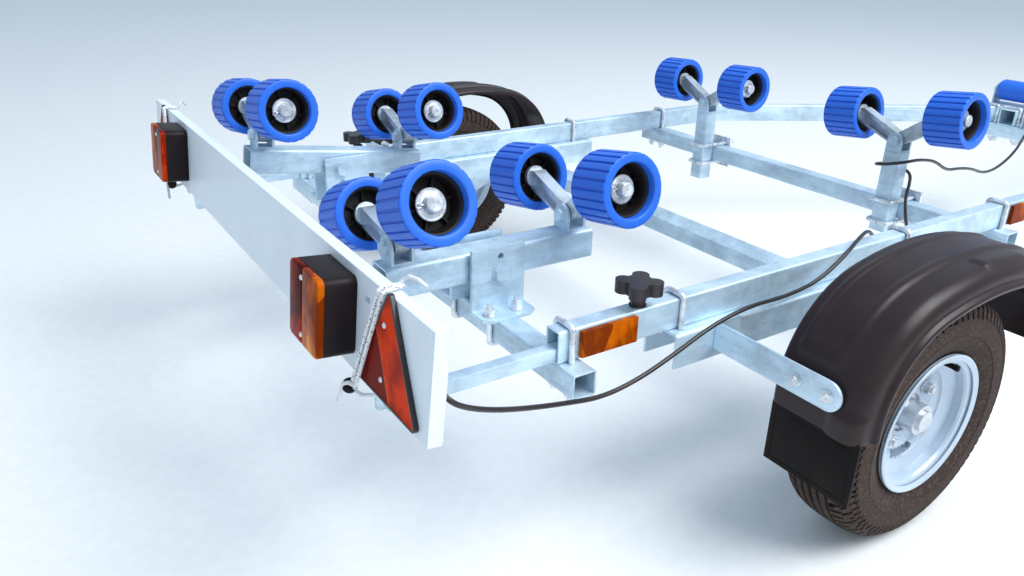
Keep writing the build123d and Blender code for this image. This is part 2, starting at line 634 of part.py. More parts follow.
def post_clamp(y):
    """Two level U bolts round a post and the plate in front of the beam."""
    rear = POST_X - POST_SIZE / 2 - SEAT_GAP - U_BAR / 2
    plate_x = MIDDLE_BEAM_X + BEAM_SIZE / 2 + SEAT_GAP
    pieces = []
    half_gap = POST_SIZE / 2 + SEAT_GAP
    plate = block(plate_x, plate_x + 6, y - 42, y + 42, BEAM_BOTTOM_Z - 20, RAIL_BOTTOM_Z + 20)
    for z in (BEAM_BOTTOM_Z - SEAT_GAP - U_BAR / 2, RAIL_BOTTOM_Z + SEAT_GAP + U_BAR / 2):
        length = plate_x + 6 + SEAT_GAP - rear
        pieces.append(u_bolt((rear, y, z), (0, 1, 0), (1, 0, 0), half_gap, length + 20, length))
        for side in (-1, 1):
            hy = y + side * (half_gap + U_BAR / 2)
            plate = plate - bar((plate_x - 1, hy, z), (plate_x + 8, hy, z), U_BAR / 2 + HOLE_PLAY)
    return pieces + [plate]


def crank():
    """V shaped pressed arm with a pivot boss and two stub axles, about its own pivot."""
    inner = ROLLER_OFFSET - ROLLER_WIDTH / 2
    outer = ROLLER_OFFSET + ROLLER_WIDTH / 2
    elbow = inner + INNER_RECESS - 7.5
    rise = ROLLER_RISE
    half = CRANK_WIDTH / 2 - 1.0
    points = [(0, -14), (14, -8), (elbow, rise - 18), (elbow, rise + 12), (elbow - 12, rise + 12), (0, 16),
              (-elbow + 12, rise + 12), (-elbow, rise + 12), (-elbow, rise - 18), (-14, -8)]
    plane = Plane(origin=(-half, 0, 0), x_dir=(0, 1, 0), z_dir=(1, 0, 0))
    body = extrude(make_face(plane * Polyline(*points, close=True)), amount=2 * half)
    for side in (-1, 1):
        pocket = [(side * 20, -1), (side * (elbow - 5), rise - 14), (side * (elbow - 5), rise + 4),
                  (side * (elbow - 14), rise + 4), (side * 16, 12)]
        for face in (-1, 1):
            start = Plane(origin=(face * (half + 1), 0, 0), x_dir=(0, 1, 0), z_dir=(1, 0, 0))
            cut = extrude(make_face(start * Polyline(*pocket, close=True)), amount=-face * (half - 2))
            body = body - cut
        flange = side * elbow
        body = body + bar((0, flange - side * 2, rise), (0, flange + side * 6, rise), 19.0)
        body = body + bar((0, flange, rise), (0, side * (outer - 13), rise), ROLLER_AXLE / 2)
        washer = side * (outer - OUTER_RECESS + 1.5)
        body = body + ring((0, washer, rise), (0, washer + side * 3, rise), 22.5, ROLLER_AXLE / 2 - 1)
    hole = bar((-40, 0, 0), (40, 0, 0), CRANK_BOLT / 2 + RUNNING_GAP)
    return body - hole


def roller_tread():
    """Pair of ribbed roller treads about the crank's own pivot."""
    treads = []
    for side in (-1, 1):
        y = side * ROLLER_OFFSET
        points = []
        for k in range(RIB_COUNT):
            for part, radius in ((0.0, ROLLER_RADIUS), (0.72, ROLLER_RADIUS), (0.80, ROLLER_RADIUS - RIB_DEPTH),
                                 (0.92, ROLLER_RADIUS - RIB_DEPTH)):
                turn = 2 * math.pi * (k + part) / RIB_COUNT
                points.append((radius * math.cos(turn), radius * math.sin(turn)))
        plane = Plane(origin=(0, y - ROLLER_WIDTH / 2, ROLLER_RISE), x_dir=(1, 0, 0), z_dir=(0, 1, 0))
        face = plane * (make_face(Polyline(*points, close=True)) - Circle(ROLLER_RADIUS - TREAD_THICK))
        treads.append(extrude(face, amount=ROLLER_WIDTH))
    return treads


def roller_core():
    """Pair of moulded roller cores with spokes, about the crank's own pivot."""
    cores = []
    outer = ROLLER_RADIUS - TREAD_THICK
    for side in (-1, 1):
        near, far = ROLLER_OFFSET - ROLLER_WIDTH / 2, ROLLER_OFFSET + ROLLER_WIDTH / 2
        rim_ring = ring((0, side * (near + 6), ROLLER_RISE), (0, side * (far - 14), ROLLER_RISE), outer, outer - 3.5)
        y0, y1 = sorted((side * (near + INNER_RECESS), side * (far - OUTER_RECESS)))
        boss = bar((0, y0, ROLLER_RISE), (0, y1, ROLLER_RISE), 18.0)
        web = bar((0, y0 + 9, ROLLER_RISE), (0, y1 - 9, ROLLER_RISE), outer - 1)
        core = rim_ring + boss + web
        for k in range(6):
            rib = block(16, outer - 1, -1.5, 1.5, y0 + 1, y1 - 1)
            turned = Pos(0, 0, ROLLER_RISE) * Rot(0, 60 * k, 0) * Rot(-90, 0, 0) * rib
            core = core + turned
        hole = bar((0, y0 - 1, ROLLER_RISE), (0, y1 + 1, ROLLER_RISE), ROLLER_AXLE / 2 + RUNNING_GAP)
        cores.append(core - hole)
    return cores


def board_place(x, y, z):
    """Place on the leaning lighting board: x out of its rear face, z up along it."""
    return Pos(BOARD_X, 0, BOARD_Z) * Rot(0, BOARD_LEAN, 0) * Pos(x, y, z)


def light_board():
    """Plain white plank with an oval hole near each end."""
    plank = Box(BOARD_THICK, BOARD_LENGTH, BOARD_HEIGHT)
    plank = board_place(0, 0, 0) * fillet(plank.edges().filter_by(Axis.Y), 1.5)
    for y in (-BOARD_HOLE_Y - 3, -BOARD_HOLE_Y + 3, BOARD_HOLE_Y - 3, BOARD_HOLE_Y + 3):
        plank = plank - bar(board_point(-20, y, 40), board_point(20, y, 40), 4.0)
    return plank


def board_arms():
    """Square tubes that slide in the rails, with the angle plates that carry the board."""
    arms = []
    z = RAIL_BOTTOM_Z + RAIL_WALL + SEAT_GAP + ARM_TUBE / 2
    back = BOARD_X + BOARD_THICK / 2 + 8
    for side in (-1, 1):
        y = side * RAIL_Y
        tube = box_tube((back, y, z), (ARM_TUBE_END_X, y, z), ARM_TUBE, ARM_TUBE, ARM_TUBE_WALL, 3.0)
        plate = board_place(BOARD_THICK / 2 + SEAT_GAP + 2.5, y - side * 6, -57) * Box(5.0, 74.0, 160.0)
        slot = board_place(0, y - side * 28, -119) * Box(40.0, 16.0, 9.0)
        plate = plate - slot + block(back - 14, back + 3, y - 10, y + 10, z - 10, z + 26)
        arms.append(tube + plate)
    return arms


def lamp(side, part):
    """One piece of a rear lamp: housing, red lens or amber lens."""
    rear = -BOARD_THICK / 2
    if part == "housing":
        box = Box(LAMP_DEPTH - SEAT_GAP, LAMP_WIDTH, LAMP_HEIGHT)
        box = fillet(box.edges().filter_by(Axis.X), 10.0)
        box = fillet(box.edges().group_by(Axis.X)[0], 2.0)
        return board_place(rear - SEAT_GAP - (LAMP_DEPTH - SEAT_GAP) / 2, side * LAMP_Y, 3) * box
    inboard = -1 if part == "red" else 1
    width = LAMP_WIDTH - 6
    span = width * (RED_SHARE if part == "red" else 1 - RED_SHARE) - 0.15
    offset = inboard * (width - span) / 2
    lens = Box(LENS_DEPTH, span, LAMP_HEIGHT - 6)
    corners = lens.edges().filter_by(Axis.X).sort_by(lambda edge: side * inboard * edge.center().Y)[-2:]
    lens = fillet(corners, 8.0)
    lens = fillet(lens.edges().group_by(Axis.X)[0], 2.0)
    return board_place(rear - SEAT_GAP - LAMP_DEPTH - LENS_DEPTH / 2, side * (LAMP_Y + offset), 3) * lens


def triangle_reflector(side):
    """Red triangular reflector on the board's rear face."""
    face = fillet(RegularPolygon(TRIANGLE_SIDE / math.sqrt(3), 3, rotation=90).vertices(), 6.0)
    plane = Plane(origin=(0, 0, 0), x_dir=(0, 1, 0), z_dir=(1, 0, 0))
    body = extrude(plane * face, amount=6.0)
    drop = TRIANGLE_SIDE / math.sqrt(3) / 4
    return board_place(-BOARD_THICK / 2 - SEAT_GAP - 6, side * TRIANGLE_Y, -drop + 1) * body


SIDE_REFLECTORS = [(35.0, 135.0), (1151.0, 1251.0)]


def side_reflector(side, x0, x1):
    """Amber reflector on the outer face of a rail."""
    y0 = side * (RAIL_OUTER_Y + SEAT_GAP)
    y1 = y0 + side * 8.0
    return block(x0, x1, min(y0, y1), max(y0, y1), RAIL_Z - 20, RAIL_Z + 20)


def clamp_knob(side):
    """Star knob whose screw presses the board's arm inside the rail."""
    y = side * RAIL_Y
    tip = RAIL_BOTTOM_Z + RAIL_WALL + SEAT_GAP + ARM_TUBE + SEAT_GAP
    stem = bar((KNOB_X, y, tip), (KNOB_X, y, RAIL_TOP_Z + KNOB_LIFT + 4), 5.0)
    base = nut((KNOB_X, y, RAIL_TOP_Z + SEAT_GAP), (0, 0, 1), 20.0, 10.0)
    star = Pos(KNOB_X, y, RAIL_TOP_Z + KNOB_LIFT) * extrude(Circle(KNOB_RADIUS * 0.62), amount=20)
    for k in range(4):
        turn = math.radians(45 + 90 * k)
        px, py = KNOB_X + KNOB_RADIUS * 0.66 * math.cos(turn), y + KNOB_RADIUS * 0.66 * math.sin(turn)
        star = star + Pos(px, py, RAIL_TOP_Z + KNOB_LIFT) * extrude(Circle(KNOB_RADIUS * 0.38), amount=20)
    return stem + base + star


def keel_bracket():
    """Saddle on the drawbar with two ears and the keel roller's spindle."""
    half = KEEL_LENGTH / 2
    base = DRAWBAR_TOP_Z + SEAT_GAP
    body = block(KEEL_X - 35, KEEL_X + 35, -half - 10, half + 10, base, base + 5)
    for side in (-1, 1):
        y0, y1 = sorted((side * (half + 5), side * (half + 10)))
        ear = block(KEEL_X - 20, KEEL_X + 20, y0, y1, base, KEEL_Z)
        ear = ear + bar((KEEL_X, y0, KEEL_Z), (KEEL_X, y1, KEEL_Z), 20.0)
        body = body + ear
    return body + bar((KEEL_X, -half - 18, KEEL_Z), (KEEL_X, half + 18, KEEL_Z), 8.0)


def keel_roller():
    """Smooth keel roller with waisted ends."""
    half = KEEL_LENGTH / 2
    points = [(8.0 + RUNNING_GAP, -half), (KEEL_RADIUS - 5, -half), (KEEL_RADIUS, -half + 8), (KEEL_RADIUS, half - 8),
              (KEEL_RADIUS - 5, half), (8.0 + RUNNING_GAP, half)]
    face = make_face(Plane(origin=(KEEL_X, 0, KEEL_Z), x_dir=(1, 0, 0), z_dir=(0, 0, 1)) * Polyline(*points, close=True))
    return revolve(face, axis=Axis((KEEL_X, 0, KEEL_Z), (0, 1, 0)))


def winch_post():
    """Upright with a clamp base, a brace and a winch shelf."""
    s = WINCH_POST_SIZE
    base_z = DRAWBAR_TOP_Z + SEAT_GAP
    body = box_tube((WINCH_POST_X, 0, base_z), (WINCH_POST_X, 0, WINCH_POST_TOP_Z), s, s, 3.0, 5.0, up=(0, 1, 0))
    body = body + block(WINCH_POST_X - 75, WINCH_POST_X + 75, -55, 55, base_z, base_z + 6)
    foot = (WINCH_POST_X + 290, 0, base_z + 12)
    brace = box_tube(foot, (WINCH_POST_X + 22, 0, WINCH_POST_TOP_Z - 230), 30, 30, 3.0, 4.0)
    body = body + brace + block(foot[0] - 35, foot[0] + 35, -45, 45, base_z, base_z + 6)
    shelf = block(WINCH_POST_X - 110, WINCH_POST_X - s / 2 + 1, -40, 40, WINCH_POST_TOP_Z - 150, WINCH_POST_TOP_Z - 144)
    arm = block(WINCH_POST_X - 150, WINCH_POST_X + s / 2, -s / 2, -s / 2 + 6, WINCH_POST_TOP_Z - 30, WINCH_POST_TOP_Z)
    return body + shelf + arm + mirrored(arm)


def bow_snubber():
    """Rubber V block between the post's two top arms."""
    x = WINCH_POST_X - 150 - SEAT_GAP - 12
    points = [(x - 45, 60), (x - 45, 34), (x, 10), (x, -10), (x - 45, -34), (x - 45, -60), (x + 12, -27), (x + 12, 27)]
    body = extrude(make_face(Polyline(*points, close=True)), amount=70)
    return Pos(0, 0, WINCH_POST_TOP_Z - 50) * body


def winch():
    """Hand winch: two cheeks, drum with strap, gear and crank handle."""
    x, z = WINCH_POST_X - 70, WINCH_POST_TOP_Z - 90
    base = WINCH_POST_TOP_Z - 144 + SEAT_GAP
    body = block(x - 38, x + 38, -36, 36, base, base + 4)
    for side in (-1, 1):
        y0, y1 = sorted((side * 32, side * 36))
        body = body + block(x - 30, x + 30, y0, y1, base, z + 24)
    body = body + bar((x, -36, z), (x, 36, z), 24.0)
    body = body + bar((x, 36, z), (x, 62, z), 9.0)
    body = body + block(x - 8, x + 8, 58, 66, z - 20, z + 150)
    return body + bar((x, 62, z + 142), (x, 150, z + 142), 13.0)


def coupling_head():
    """Pressed coupling with a ball socket, bolted on top of the drawbar."""
    z = DRAWBAR_Z + 12
    rear = DRAWBAR_FRONT_X - 120
    body = block(rear, DRAWBAR_FRONT_X + 20, -34, 34, DRAWBAR_TOP_Z - 30, DRAWBAR_TOP_Z + 8)
    body = body - block(rear - 1, DRAWBAR_FRONT_X + SEAT_GAP, -DRAWBAR_SIZE / 2 - SEAT_GAP,
                        DRAWBAR_SIZE / 2 + SEAT_GAP, DRAWBAR_TOP_Z - 40, DRAWBAR_TOP_Z + SEAT_GAP)
    head = Pos(COUPLING_X, 0, z) * Cylinder(COUPLING_BALL / 2 + 10, 52, align=(Align.CENTER, Align.CENTER, Align.CENTER))
    neck = block(DRAWBAR_FRONT_X + 10, COUPLING_X, -24, 24, z - 10, z + 26)
    body = body + head + neck
    socket = Pos(COUPLING_X, 0, z - 40) * Cylinder(COUPLING_BALL / 2 + 0.4, 56,
                                                    align=(Align.CENTER, Align.CENTER, Align.MIN))
    body = body - socket
    lever = block(COUPLING_X - 110, COUPLING_X + 10, -12, 12, z + 44, z + 52)
    lever = lever + block(COUPLING_X - 20, COUPLING_X + 10, -12, 12, z + 20, z + 52)
    return body + lever


def jockey_tube():
    """Outer tube of the jockey wheel with its clamp on the drawbar's left side."""
    y = JOCKEY_Y
    tube = ring((JOCKEY_X, y, JOCKEY_TUBE_BOTTOM_Z), (JOCKEY_X, y, JOCKEY_TUBE_TOP_Z), JOCKEY_OUTER_RADIUS,
                JOCKEY_OUTER_RADIUS - JOCKEY_WALL)
    y0 = DRAWBAR_SIZE / 2 + SEAT_GAP
    plate = block(JOCKEY_X - 45, JOCKEY_X + 45, y0, y0 + JOCKEY_PLATE, DRAWBAR_Z - 45, DRAWBAR_Z + 45)
    clamp = ring((JOCKEY_X, y, DRAWBAR_Z - 35), (JOCKEY_X, y, DRAWBAR_Z + 35), JOCKEY_OUTER_RADIUS + 7,
                 JOCKEY_OUTER_RADIUS - 1)
    web = block(JOCKEY_X - 24, JOCKEY_X + 24, y0 + JOCKEY_PLATE - 1, y - JOCKEY_OUTER_RADIUS + 1,
                DRAWBAR_Z - 35, DRAWBAR_Z + 35)
    cap = ring((JOCKEY_X, y, JOCKEY_TUBE_TOP_Z - 1), (JOCKEY_X, y, JOCKEY_TUBE_TOP_Z + 6), JOCKEY_OUTER_RADIUS + 2, 6.0)
    screw = bar((JOCKEY_X, y, JOCKEY_TUBE_TOP_Z - 4), (JOCKEY_X, y, JOCKEY_TUBE_TOP_Z + 34), 6.0)
    lever = bar((JOCKEY_X, y, JOCKEY_TUBE_TOP_Z + 30), (JOCKEY_X + 95, y, JOCKEY_TUBE_TOP_Z + 30), 6.0)
    knob = bar((JOCKEY_X + 90, y, JOCKEY_TUBE_TOP_Z + 24), (JOCKEY_X + 90, y, JOCKEY_TUBE_TOP_Z + 90), 12.0)
    return tube + plate + clamp + web + cap + screw + lever + knob


JOCKEY_LEG_BOTTOM_Z = 2 * JOCKEY_WHEEL_RADIUS + 34.0


def jockey_leg():
    """Inner tube that slides in the outer one."""
    y = JOCKEY_Y
    radius = JOCKEY_OUTER_RADIUS - JOCKEY_WALL - RUNNING_GAP
    body = ring((JOCKEY_X, y, JOCKEY_LEG_BOTTOM_Z - 20), (JOCKEY_X, y, JOCKEY_TUBE_BOTTOM_Z + 290), radius, radius - 3.0)
    return body + bar((JOCKEY_X, y, JOCKEY_LEG_BOTTOM_Z - 20), (JOCKEY_X, y, JOCKEY_LEG_BOTTOM_Z), radius)


def jockey_fork():
    """Swivelling fork with the wheel's axle."""
    y = JOCKEY_Y
    top = JOCKEY_LEG_BOTTOM_Z - 20 - SEAT_GAP
    x = JOCKEY_X - JOCKEY_TRAIL
    half = JOCKEY_WHEEL_WIDTH / 2 + 5
    crown = block(JOCKEY_X - 22, JOCKEY_X + 22, y - half - 4, y + half + 4, top - 6, top)
    body = crown
    for side in (-1, 1):
        y0, y1 = sorted((y + side * half, y + side * (half + 4)))
        plane = Plane(origin=(0, y0, 0), x_dir=(1, 0, 0), z_dir=(0, -1, 0))
        points = [(JOCKEY_X - 22, top), (JOCKEY_X + 22, top), (x + 14, JOCKEY_WHEEL_RADIUS - 12),
                  (x - 14, JOCKEY_WHEEL_RADIUS - 12)]
        body = body + extrude(plane * make_face(Polyline(*points, close=True)), amount=-(y1 - y0))
    return body + bar((x, y - half - 8, JOCKEY_WHEEL_RADIUS), (x, y + half + 8, JOCKEY_WHEEL_RADIUS), 8.0)


def jockey_wheel():
    """Small wheel with a solid rubber rim."""
    y, x, r, w = JOCKEY_Y, JOCKEY_X - JOCKEY_TRAIL, JOCKEY_WHEEL_RADIUS, JOCKEY_WHEEL_WIDTH / 2
    points = [(8.0 + RUNNING_GAP, -w), (22, -w), (22, -w + 12), (r - 28, -w + 12), (r - 24, -w + 4), (r - 6, -w + 4),
              (r, -w + 12), (r, w - 12), (r - 6, w - 4), (r - 24, w - 4), (r - 28, w - 12), (22, w - 12), (22, w),
              (8.0 + RUNNING_GAP, w)]
    face = make_face(Plane(origin=(x, y, r), x_dir=(1, 0, 0), z_dir=(0, 0, 1)) * Polyline(*points, close=True))
    return revolve(face, axis=Axis((x, y, r), (0, 1, 0)))


def rail_u_bolts():
    """U bolts over the rails at the beams and channels."""
    bolts = []
    top = RAIL_TOP_Z + SEAT_GAP + U_BAR / 2
    # x, y, half gap, z of the face that the nuts bear on from below
    table = [(REAR_BEAM_X, RAIL_Y, RAIL_HALF_GAP, BEAM_BOTTOM_Z),
             (MIDDLE_BEAM_X, RAIL_Y, RAIL_HALF_GAP, BEAM_BOTTOM_Z),
             (FRONT_BEAM_X, FRONT_RAIL_Y, FRONT_HALF_GAP, BEAM_BOTTOM_Z)]
    table += [(x, RAIL_Y, RAIL_HALF_GAP, RAIL_BOTTOM_Z - CHANNEL_WALL) for x in CHANNEL_BOLTS]
    for x, y, half_gap, seat_z in table:
        drop = top - seat_z + SEAT_GAP
        for side in (-1, 1):
            bolts.append(u_bolt((x, side * y, top), (0, 1, 0), (0, 0, -1), half_gap, drop + 18, drop))
    drop = top - BEAM_BOTTOM_Z + SEAT_GAP
    bolts.append(u_bolt((DRAWBAR_BOLT_X, 0, top), (0, 1, 0), (0, 0, -1), DRAWBAR_SIZE / 2 + SEAT_GAP,
                        drop + 18, drop))
    return bolts


CABLE_DIAMETER = 7.0
# Lighting cable's route: out of the board, over the right rail, once round the right post, to the drawbar
CABLE_ROUTE = [
    (-242, -446, 446), (-222, -446, 446), (-212, -464, 446), (-216, -500, 446), (-226, -545, 444),
    (-236, -585, 438), (-240, -618, 428), (-233, -643, 412), (-206, -640, 393), (-156, -623, 365),
    (-93, -603, 337), (-22, -584, 311),
    (45, -575, 294), (115, -571, 300), (190, -566, 320), (262, -562, 344), (345, -559, 356),
    (440, -549, 345), (530, -543, 351), (598, -539, 383), (655, -522, 399), (712, -500, 397),
    (765, -480, 366), (835, -462, 336), (925, -440, 319), (1005, -405, 312), (1050, -368, 324),
    (1078, -342, 355), (1095, -335, 388), (1119, -316, 401), (1123, -286, 407), (1105, -261, 411),
    (1074, -257, 414), (1050, -276, 420), (1046, -306, 428), (1065, -331, 435), (1095, -336, 437),
    (1130, -334, 433), (1185, -330, 422), (1265, -316, 386), (1345, -303, 377), (1430, -288, 361),
    (1520, -270, 333), (1605, -253, 323), (1690, -238, 331), (1770, -223, 353), (1840, -201, 382),
    (1890, -195, 402), (1945, -192, 410), (2010, -186, 404), (2080, -166, 384), (2150, -133, 368),
    (2205, -103, 360), (2250, -84, 359), (2290, -72, 360), (2323, -52, 360), (2323, -31, 360),
]
CORD_DIAMETER = 6.0
CORD_Y = 547.0
CORD_LOW_Y = 484.0
CORD_TOP_LIFT = 5.0
CORD_LIFT = 8.0


def bend_radii(points):
    """Radius of each bend: 0.45 of the shorter run over the tangent of half the turn."""
    radii = []
    for a, b, c in zip(points, points[1:], points[2:]):
        u, v = Vector(*b) - Vector(*a), Vector(*c) - Vector(*b)
        turn = math.radians(u.get_angle(v))
        radii.append(0.45 * min(u.length, v.length) / math.tan(turn / 2))
    return radii


def routed_tube(points, diameter, name):
    """Solid tube of straight runs and tangent arcs along a route."""
    radii = bend_radii(points)
    path = FilletPolyline(*points, radius=radii)
    tube = sweep(Plane(origin=path @ 0, z_dir=path % 0) * Circle(diameter / 2), path=path)
    print(name, "length", round(path.length), "least radius", round(min(radii), 1),
          "volume ratio", round(tube.volume / (path.length * math.pi * diameter**2 / 4), 4))
    return tube


def board_point(x, y, z):
    """Point on the leaning lighting board as a tuple."""
    return tuple(board_place(x, y, z).position)


def elastic_cord(side):
    """Doubled elastic cord that loops over the board's top edge, with its two hooks."""
    rear, front = -BOARD_THICK / 2 - 4.0, BOARD_THICK / 2 + 4.0
    top = BOARD_HEIGHT / 2 + 4.5
    solids = []
    for strand in (-1, 1):
        shift = strand * (CORD_DIAMETER / 2 + 0.2)
        points = [board_point(rear - CORD_LIFT, side * (CORD_LOW_Y + shift), -78),
                  board_point(rear - CORD_TOP_LIFT, side * (CORD_Y + shift), top),
                  board_point(front, side * (CORD_Y - 2 + shift), top),
                  board_point(front + 6, side * (CORD_Y - 4 + shift), top - 10)]
        path = FilletPolyline(*points, radius=5.0)
        solids.append(sweep(Plane(origin=path @ 0, z_dir=path % 0) * Circle(CORD_DIAMETER / 2), path=path))
    body = solids[0] + solids[1]
    for points in ([board_point(front + 5, side * (CORD_Y - 4), top - 6),
                    board_point(front + 14, side * (CORD_Y + 5), top + 10),
                    board_point(front + 34, side * (CORD_Y + 11), top - 2)],
                   [board_point(rear - CORD_LIFT, side * CORD_LOW_Y, -76),
                    board_point(rear - CORD_LIFT - 8, side * (CORD_LOW_Y - 16), -90),
                    board_point(rear - CORD_LIFT - 10, side * (CORD_LOW_Y - 33), -120)]):
        path = FilletPolyline(*points, radius=8.0)
        body = body + sweep(Plane(origin=path @ 0, z_dir=path % 0) * Circle(2.6), path=path)
    return body


def cord_ball(side):
    """Black ball below the elastic cord, tied to the arm's plate."""
    rear = -BOARD_THICK / 2 - 4.0 - CORD_LIFT
    ball = board_place(rear, side * (CORD_LOW_Y - 5), -86) * Sphere(9.0)
    tie = bar(board_point(rear, side * (CORD_LOW_Y - 5), -86), board_point(BOARD_THICK / 2 - 2.0, side * 511.0, -90), 2.5)
    return ball + tie - elastic_cord(side)


def board_gland():
    """Bush on the board's front face that the cable comes out of."""
    start = board_point(BOARD_THICK / 2 + SEAT_GAP, CABLE_ROUTE[0][1], 6.0)
    end = (CABLE_ROUTE[0][0] - SEAT_GAP, CABLE_ROUTE[0][1], CABLE_ROUTE[0][2])
    return bar((start[0] + 0.8, end[1], end[2]), end, 8.0)


def drawbar_gland():
    """Bush on the drawbar's right side that the cable goes into."""
    x, y, z = CABLE_ROUTE[-1]
    return bar((x + 1, -DRAWBAR_SIZE / 2 - SEAT_GAP, z), (x + 1, y, z), 9.0)


def build():
    """All nodes of the trailer, keyed by name."""
    nodes = {}
    rail = side_rail()
    nodes["side_rails"] = [rail, mirrored(rail)]
    nodes["cross_beams"] = [cross_beam(REAR_BEAM_X, REAR_BEAM_HALF, RAIL_Y, RAIL_HALF_GAP),
                            cross_beam(MIDDLE_BEAM_X, MIDDLE_BEAM_HALF, RAIL_Y, RAIL_HALF_GAP),
                            cross_beam(FRONT_BEAM_X, FRONT_BEAM_HALF, FRONT_RAIL_Y, FRONT_HALF_GAP)]
    nodes["drawbar"] = [drawbar()]
    left_channel = channel()
    nodes["axle_channels"] = [left_channel, mirrored(left_channel)]
    nodes["axle_tube"] = [axle_tube()]
    left_arm = suspension_arm()
    nodes["suspension_arms"] = [left_arm, mirrored(left_arm)]
    nodes["u_bolts"] = rail_u_bolts()
    nodes["rocker_brackets"] = []
    for name, y, px, pz, pitch, rear_tilt, front_tilt in ROCKERS:
        nodes["rocker_brackets"].append(rocker_bracket(y, px, pz))
        nodes["u_bolts"] += bracket_u_bolts(y)
    nodes["roller_posts"] = []
    for name, y, pivot_z, tilt in POSTS:
        nodes["roller_posts"].append(roller_post(y, pivot_z))
        nodes["u_bolts"] += post_clamp(y)
    guard = mudguard()
    nodes["mudguards"] = [guard, mirrored(guard)]
    flap = mud_flap()
    nodes["mud_flaps"] = [flap, mirrored(flap)]
    stays = guard_stays()
    nodes["mudguard_stays"] = stays + [mirrored(s) for s in stays]
    nodes["side_reflectors"] = [side_reflector(side, x0, x1) for name, side in SIDES for x0, x1 in SIDE_REFLECTORS]
    nodes["clamp_knobs"] = [clamp_knob(side) for name, side in SIDES]
    nodes["keel_bracket"] = [keel_bracket()]
    nodes["keel_roller"] = [keel_roller()]
    nodes["winch_post"] = [winch_post()]
    nodes["bow_snubber"] = [bow_snubber()]
    nodes["winch"] = [winch()]
    nodes["coupling_head"] = [coupling_head()]
    nodes["jockey_tube"] = [jockey_tube()]
    nodes["jockey_leg"] = [jockey_leg()]
    nodes["jockey_fork"] = [jockey_fork()]
    nodes["jockey_wheel"] = [jockey_wheel()]
    for name, side in SIDES:
        nodes["tyre_" + name] = [tyre(side)]
        nodes["rim_" + name] = [rim(side)]
        nodes["hub_" + name] = [hub(side)]
    nodes["light_board"] = [light_board()]
    nodes["board_arms"] = board_arms()
    nodes["lamp_housings"] = [lamp(side, "housing") for name, side in SIDES]
    nodes["red_lenses"] = [lamp(side, "red") for name, side in SIDES]
    nodes["amber_lenses"] = [lamp(side, "amber") for name, side in SIDES]
    nodes["triangle_reflectors"] = [triangle_reflector(side) for name, side in SIDES]
    nodes["lighting_cable"] = [routed_tube(CABLE_ROUTE, CABLE_DIAMETER, "lighting cable")]
    nodes["board_gland"] = [board_gland()]
    nodes["drawbar_gland"] = [drawbar_gland()]
    nodes["elastic_cords"] = [elastic_cord(side) for name, side in SIDES]
    nodes["cord_balls"] = [cord_ball(side) for name, side in SIDES]
    arm, treads, cores = crank(), roller_tread(), roller_core()

    def add_pair(name, place):
        nodes["crank_" + name] = [place * arm]
        nodes["rollers_" + name] = [place * (t + c) for t, c in zip(treads, cores)]

    for name, y, px, pz, pitch, rear_tilt, front_tilt in ROCKERS:
        about = Pos(px, 0, pz) * Rot(0, pitch, 0) * Pos(-px, 0, -pz)
        nodes["rocker_" + name] = [about * rocker_beam(y, px, pz)]
        bolt_z = pz + ROCKER_RISE + ROCKER_SIZE / 2 + FORK_HEIGHT
        for end, sign, tilt in (("rear", -1, rear_tilt), ("front", 1, front_tilt)):
            place = about * Pos(px + sign * ROCKER_PAIR_X, y, bolt_z) * Rot(tilt, 0, 0)
            add_pair(name + "_" + end, place)
    for name, y, pivot_z, tilt in POSTS:
        add_pair(name + "_post", Pos(POST_X, y, pivot_z) * Rot(tilt, 0, 0))
    return nodes


def main():
    """Write one STEP file per node, centred under the whole length."""
    nodes = {name: union(shapes) for name, shapes in build().items()}
    boxes = [shape.bounding_box() for shape in nodes.values()]
    x_min = min(box.min.X for box in boxes)
    x_max = max(box.max.X for box in boxes)
    shift = Pos(-(x_min + x_max) / 2, 0, 0)
    print("x shift", -(x_min + x_max) / 2, "length", x_max - x_min)
    os.makedirs("parts", exist_ok=True)
    for name, shape in nodes.items():
        export_step(shift * shape, f"parts/{name}.step")


main()
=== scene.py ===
"""Looks of an empty galvanised boat trailer with roller cradles and a sliding lighting board."""
import json
import logging
import math
from dataclasses import dataclass
from enum import Enum
from typing import Callable, Optional, Sequence, Union

import bpy
from mathutils import Matrix, Vector


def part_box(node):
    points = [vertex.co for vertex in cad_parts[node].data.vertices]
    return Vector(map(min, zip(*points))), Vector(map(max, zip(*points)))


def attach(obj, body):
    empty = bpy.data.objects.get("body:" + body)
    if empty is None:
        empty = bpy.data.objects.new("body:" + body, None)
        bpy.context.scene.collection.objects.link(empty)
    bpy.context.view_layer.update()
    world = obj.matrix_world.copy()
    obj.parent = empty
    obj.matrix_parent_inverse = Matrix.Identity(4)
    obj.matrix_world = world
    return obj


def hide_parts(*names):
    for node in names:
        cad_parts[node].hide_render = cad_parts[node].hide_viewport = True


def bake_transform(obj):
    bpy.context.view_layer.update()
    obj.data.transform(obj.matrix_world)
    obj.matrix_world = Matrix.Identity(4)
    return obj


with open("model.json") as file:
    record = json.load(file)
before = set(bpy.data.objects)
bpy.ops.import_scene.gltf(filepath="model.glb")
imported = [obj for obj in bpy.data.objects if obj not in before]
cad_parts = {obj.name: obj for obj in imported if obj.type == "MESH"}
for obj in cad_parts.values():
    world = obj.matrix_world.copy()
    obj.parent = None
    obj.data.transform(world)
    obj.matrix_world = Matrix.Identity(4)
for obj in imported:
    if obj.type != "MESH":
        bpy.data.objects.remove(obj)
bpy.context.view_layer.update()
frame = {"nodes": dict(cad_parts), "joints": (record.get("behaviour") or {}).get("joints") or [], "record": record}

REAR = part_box("side_rails")[0].x
LOG = logging.getLogger("boat_trailer")
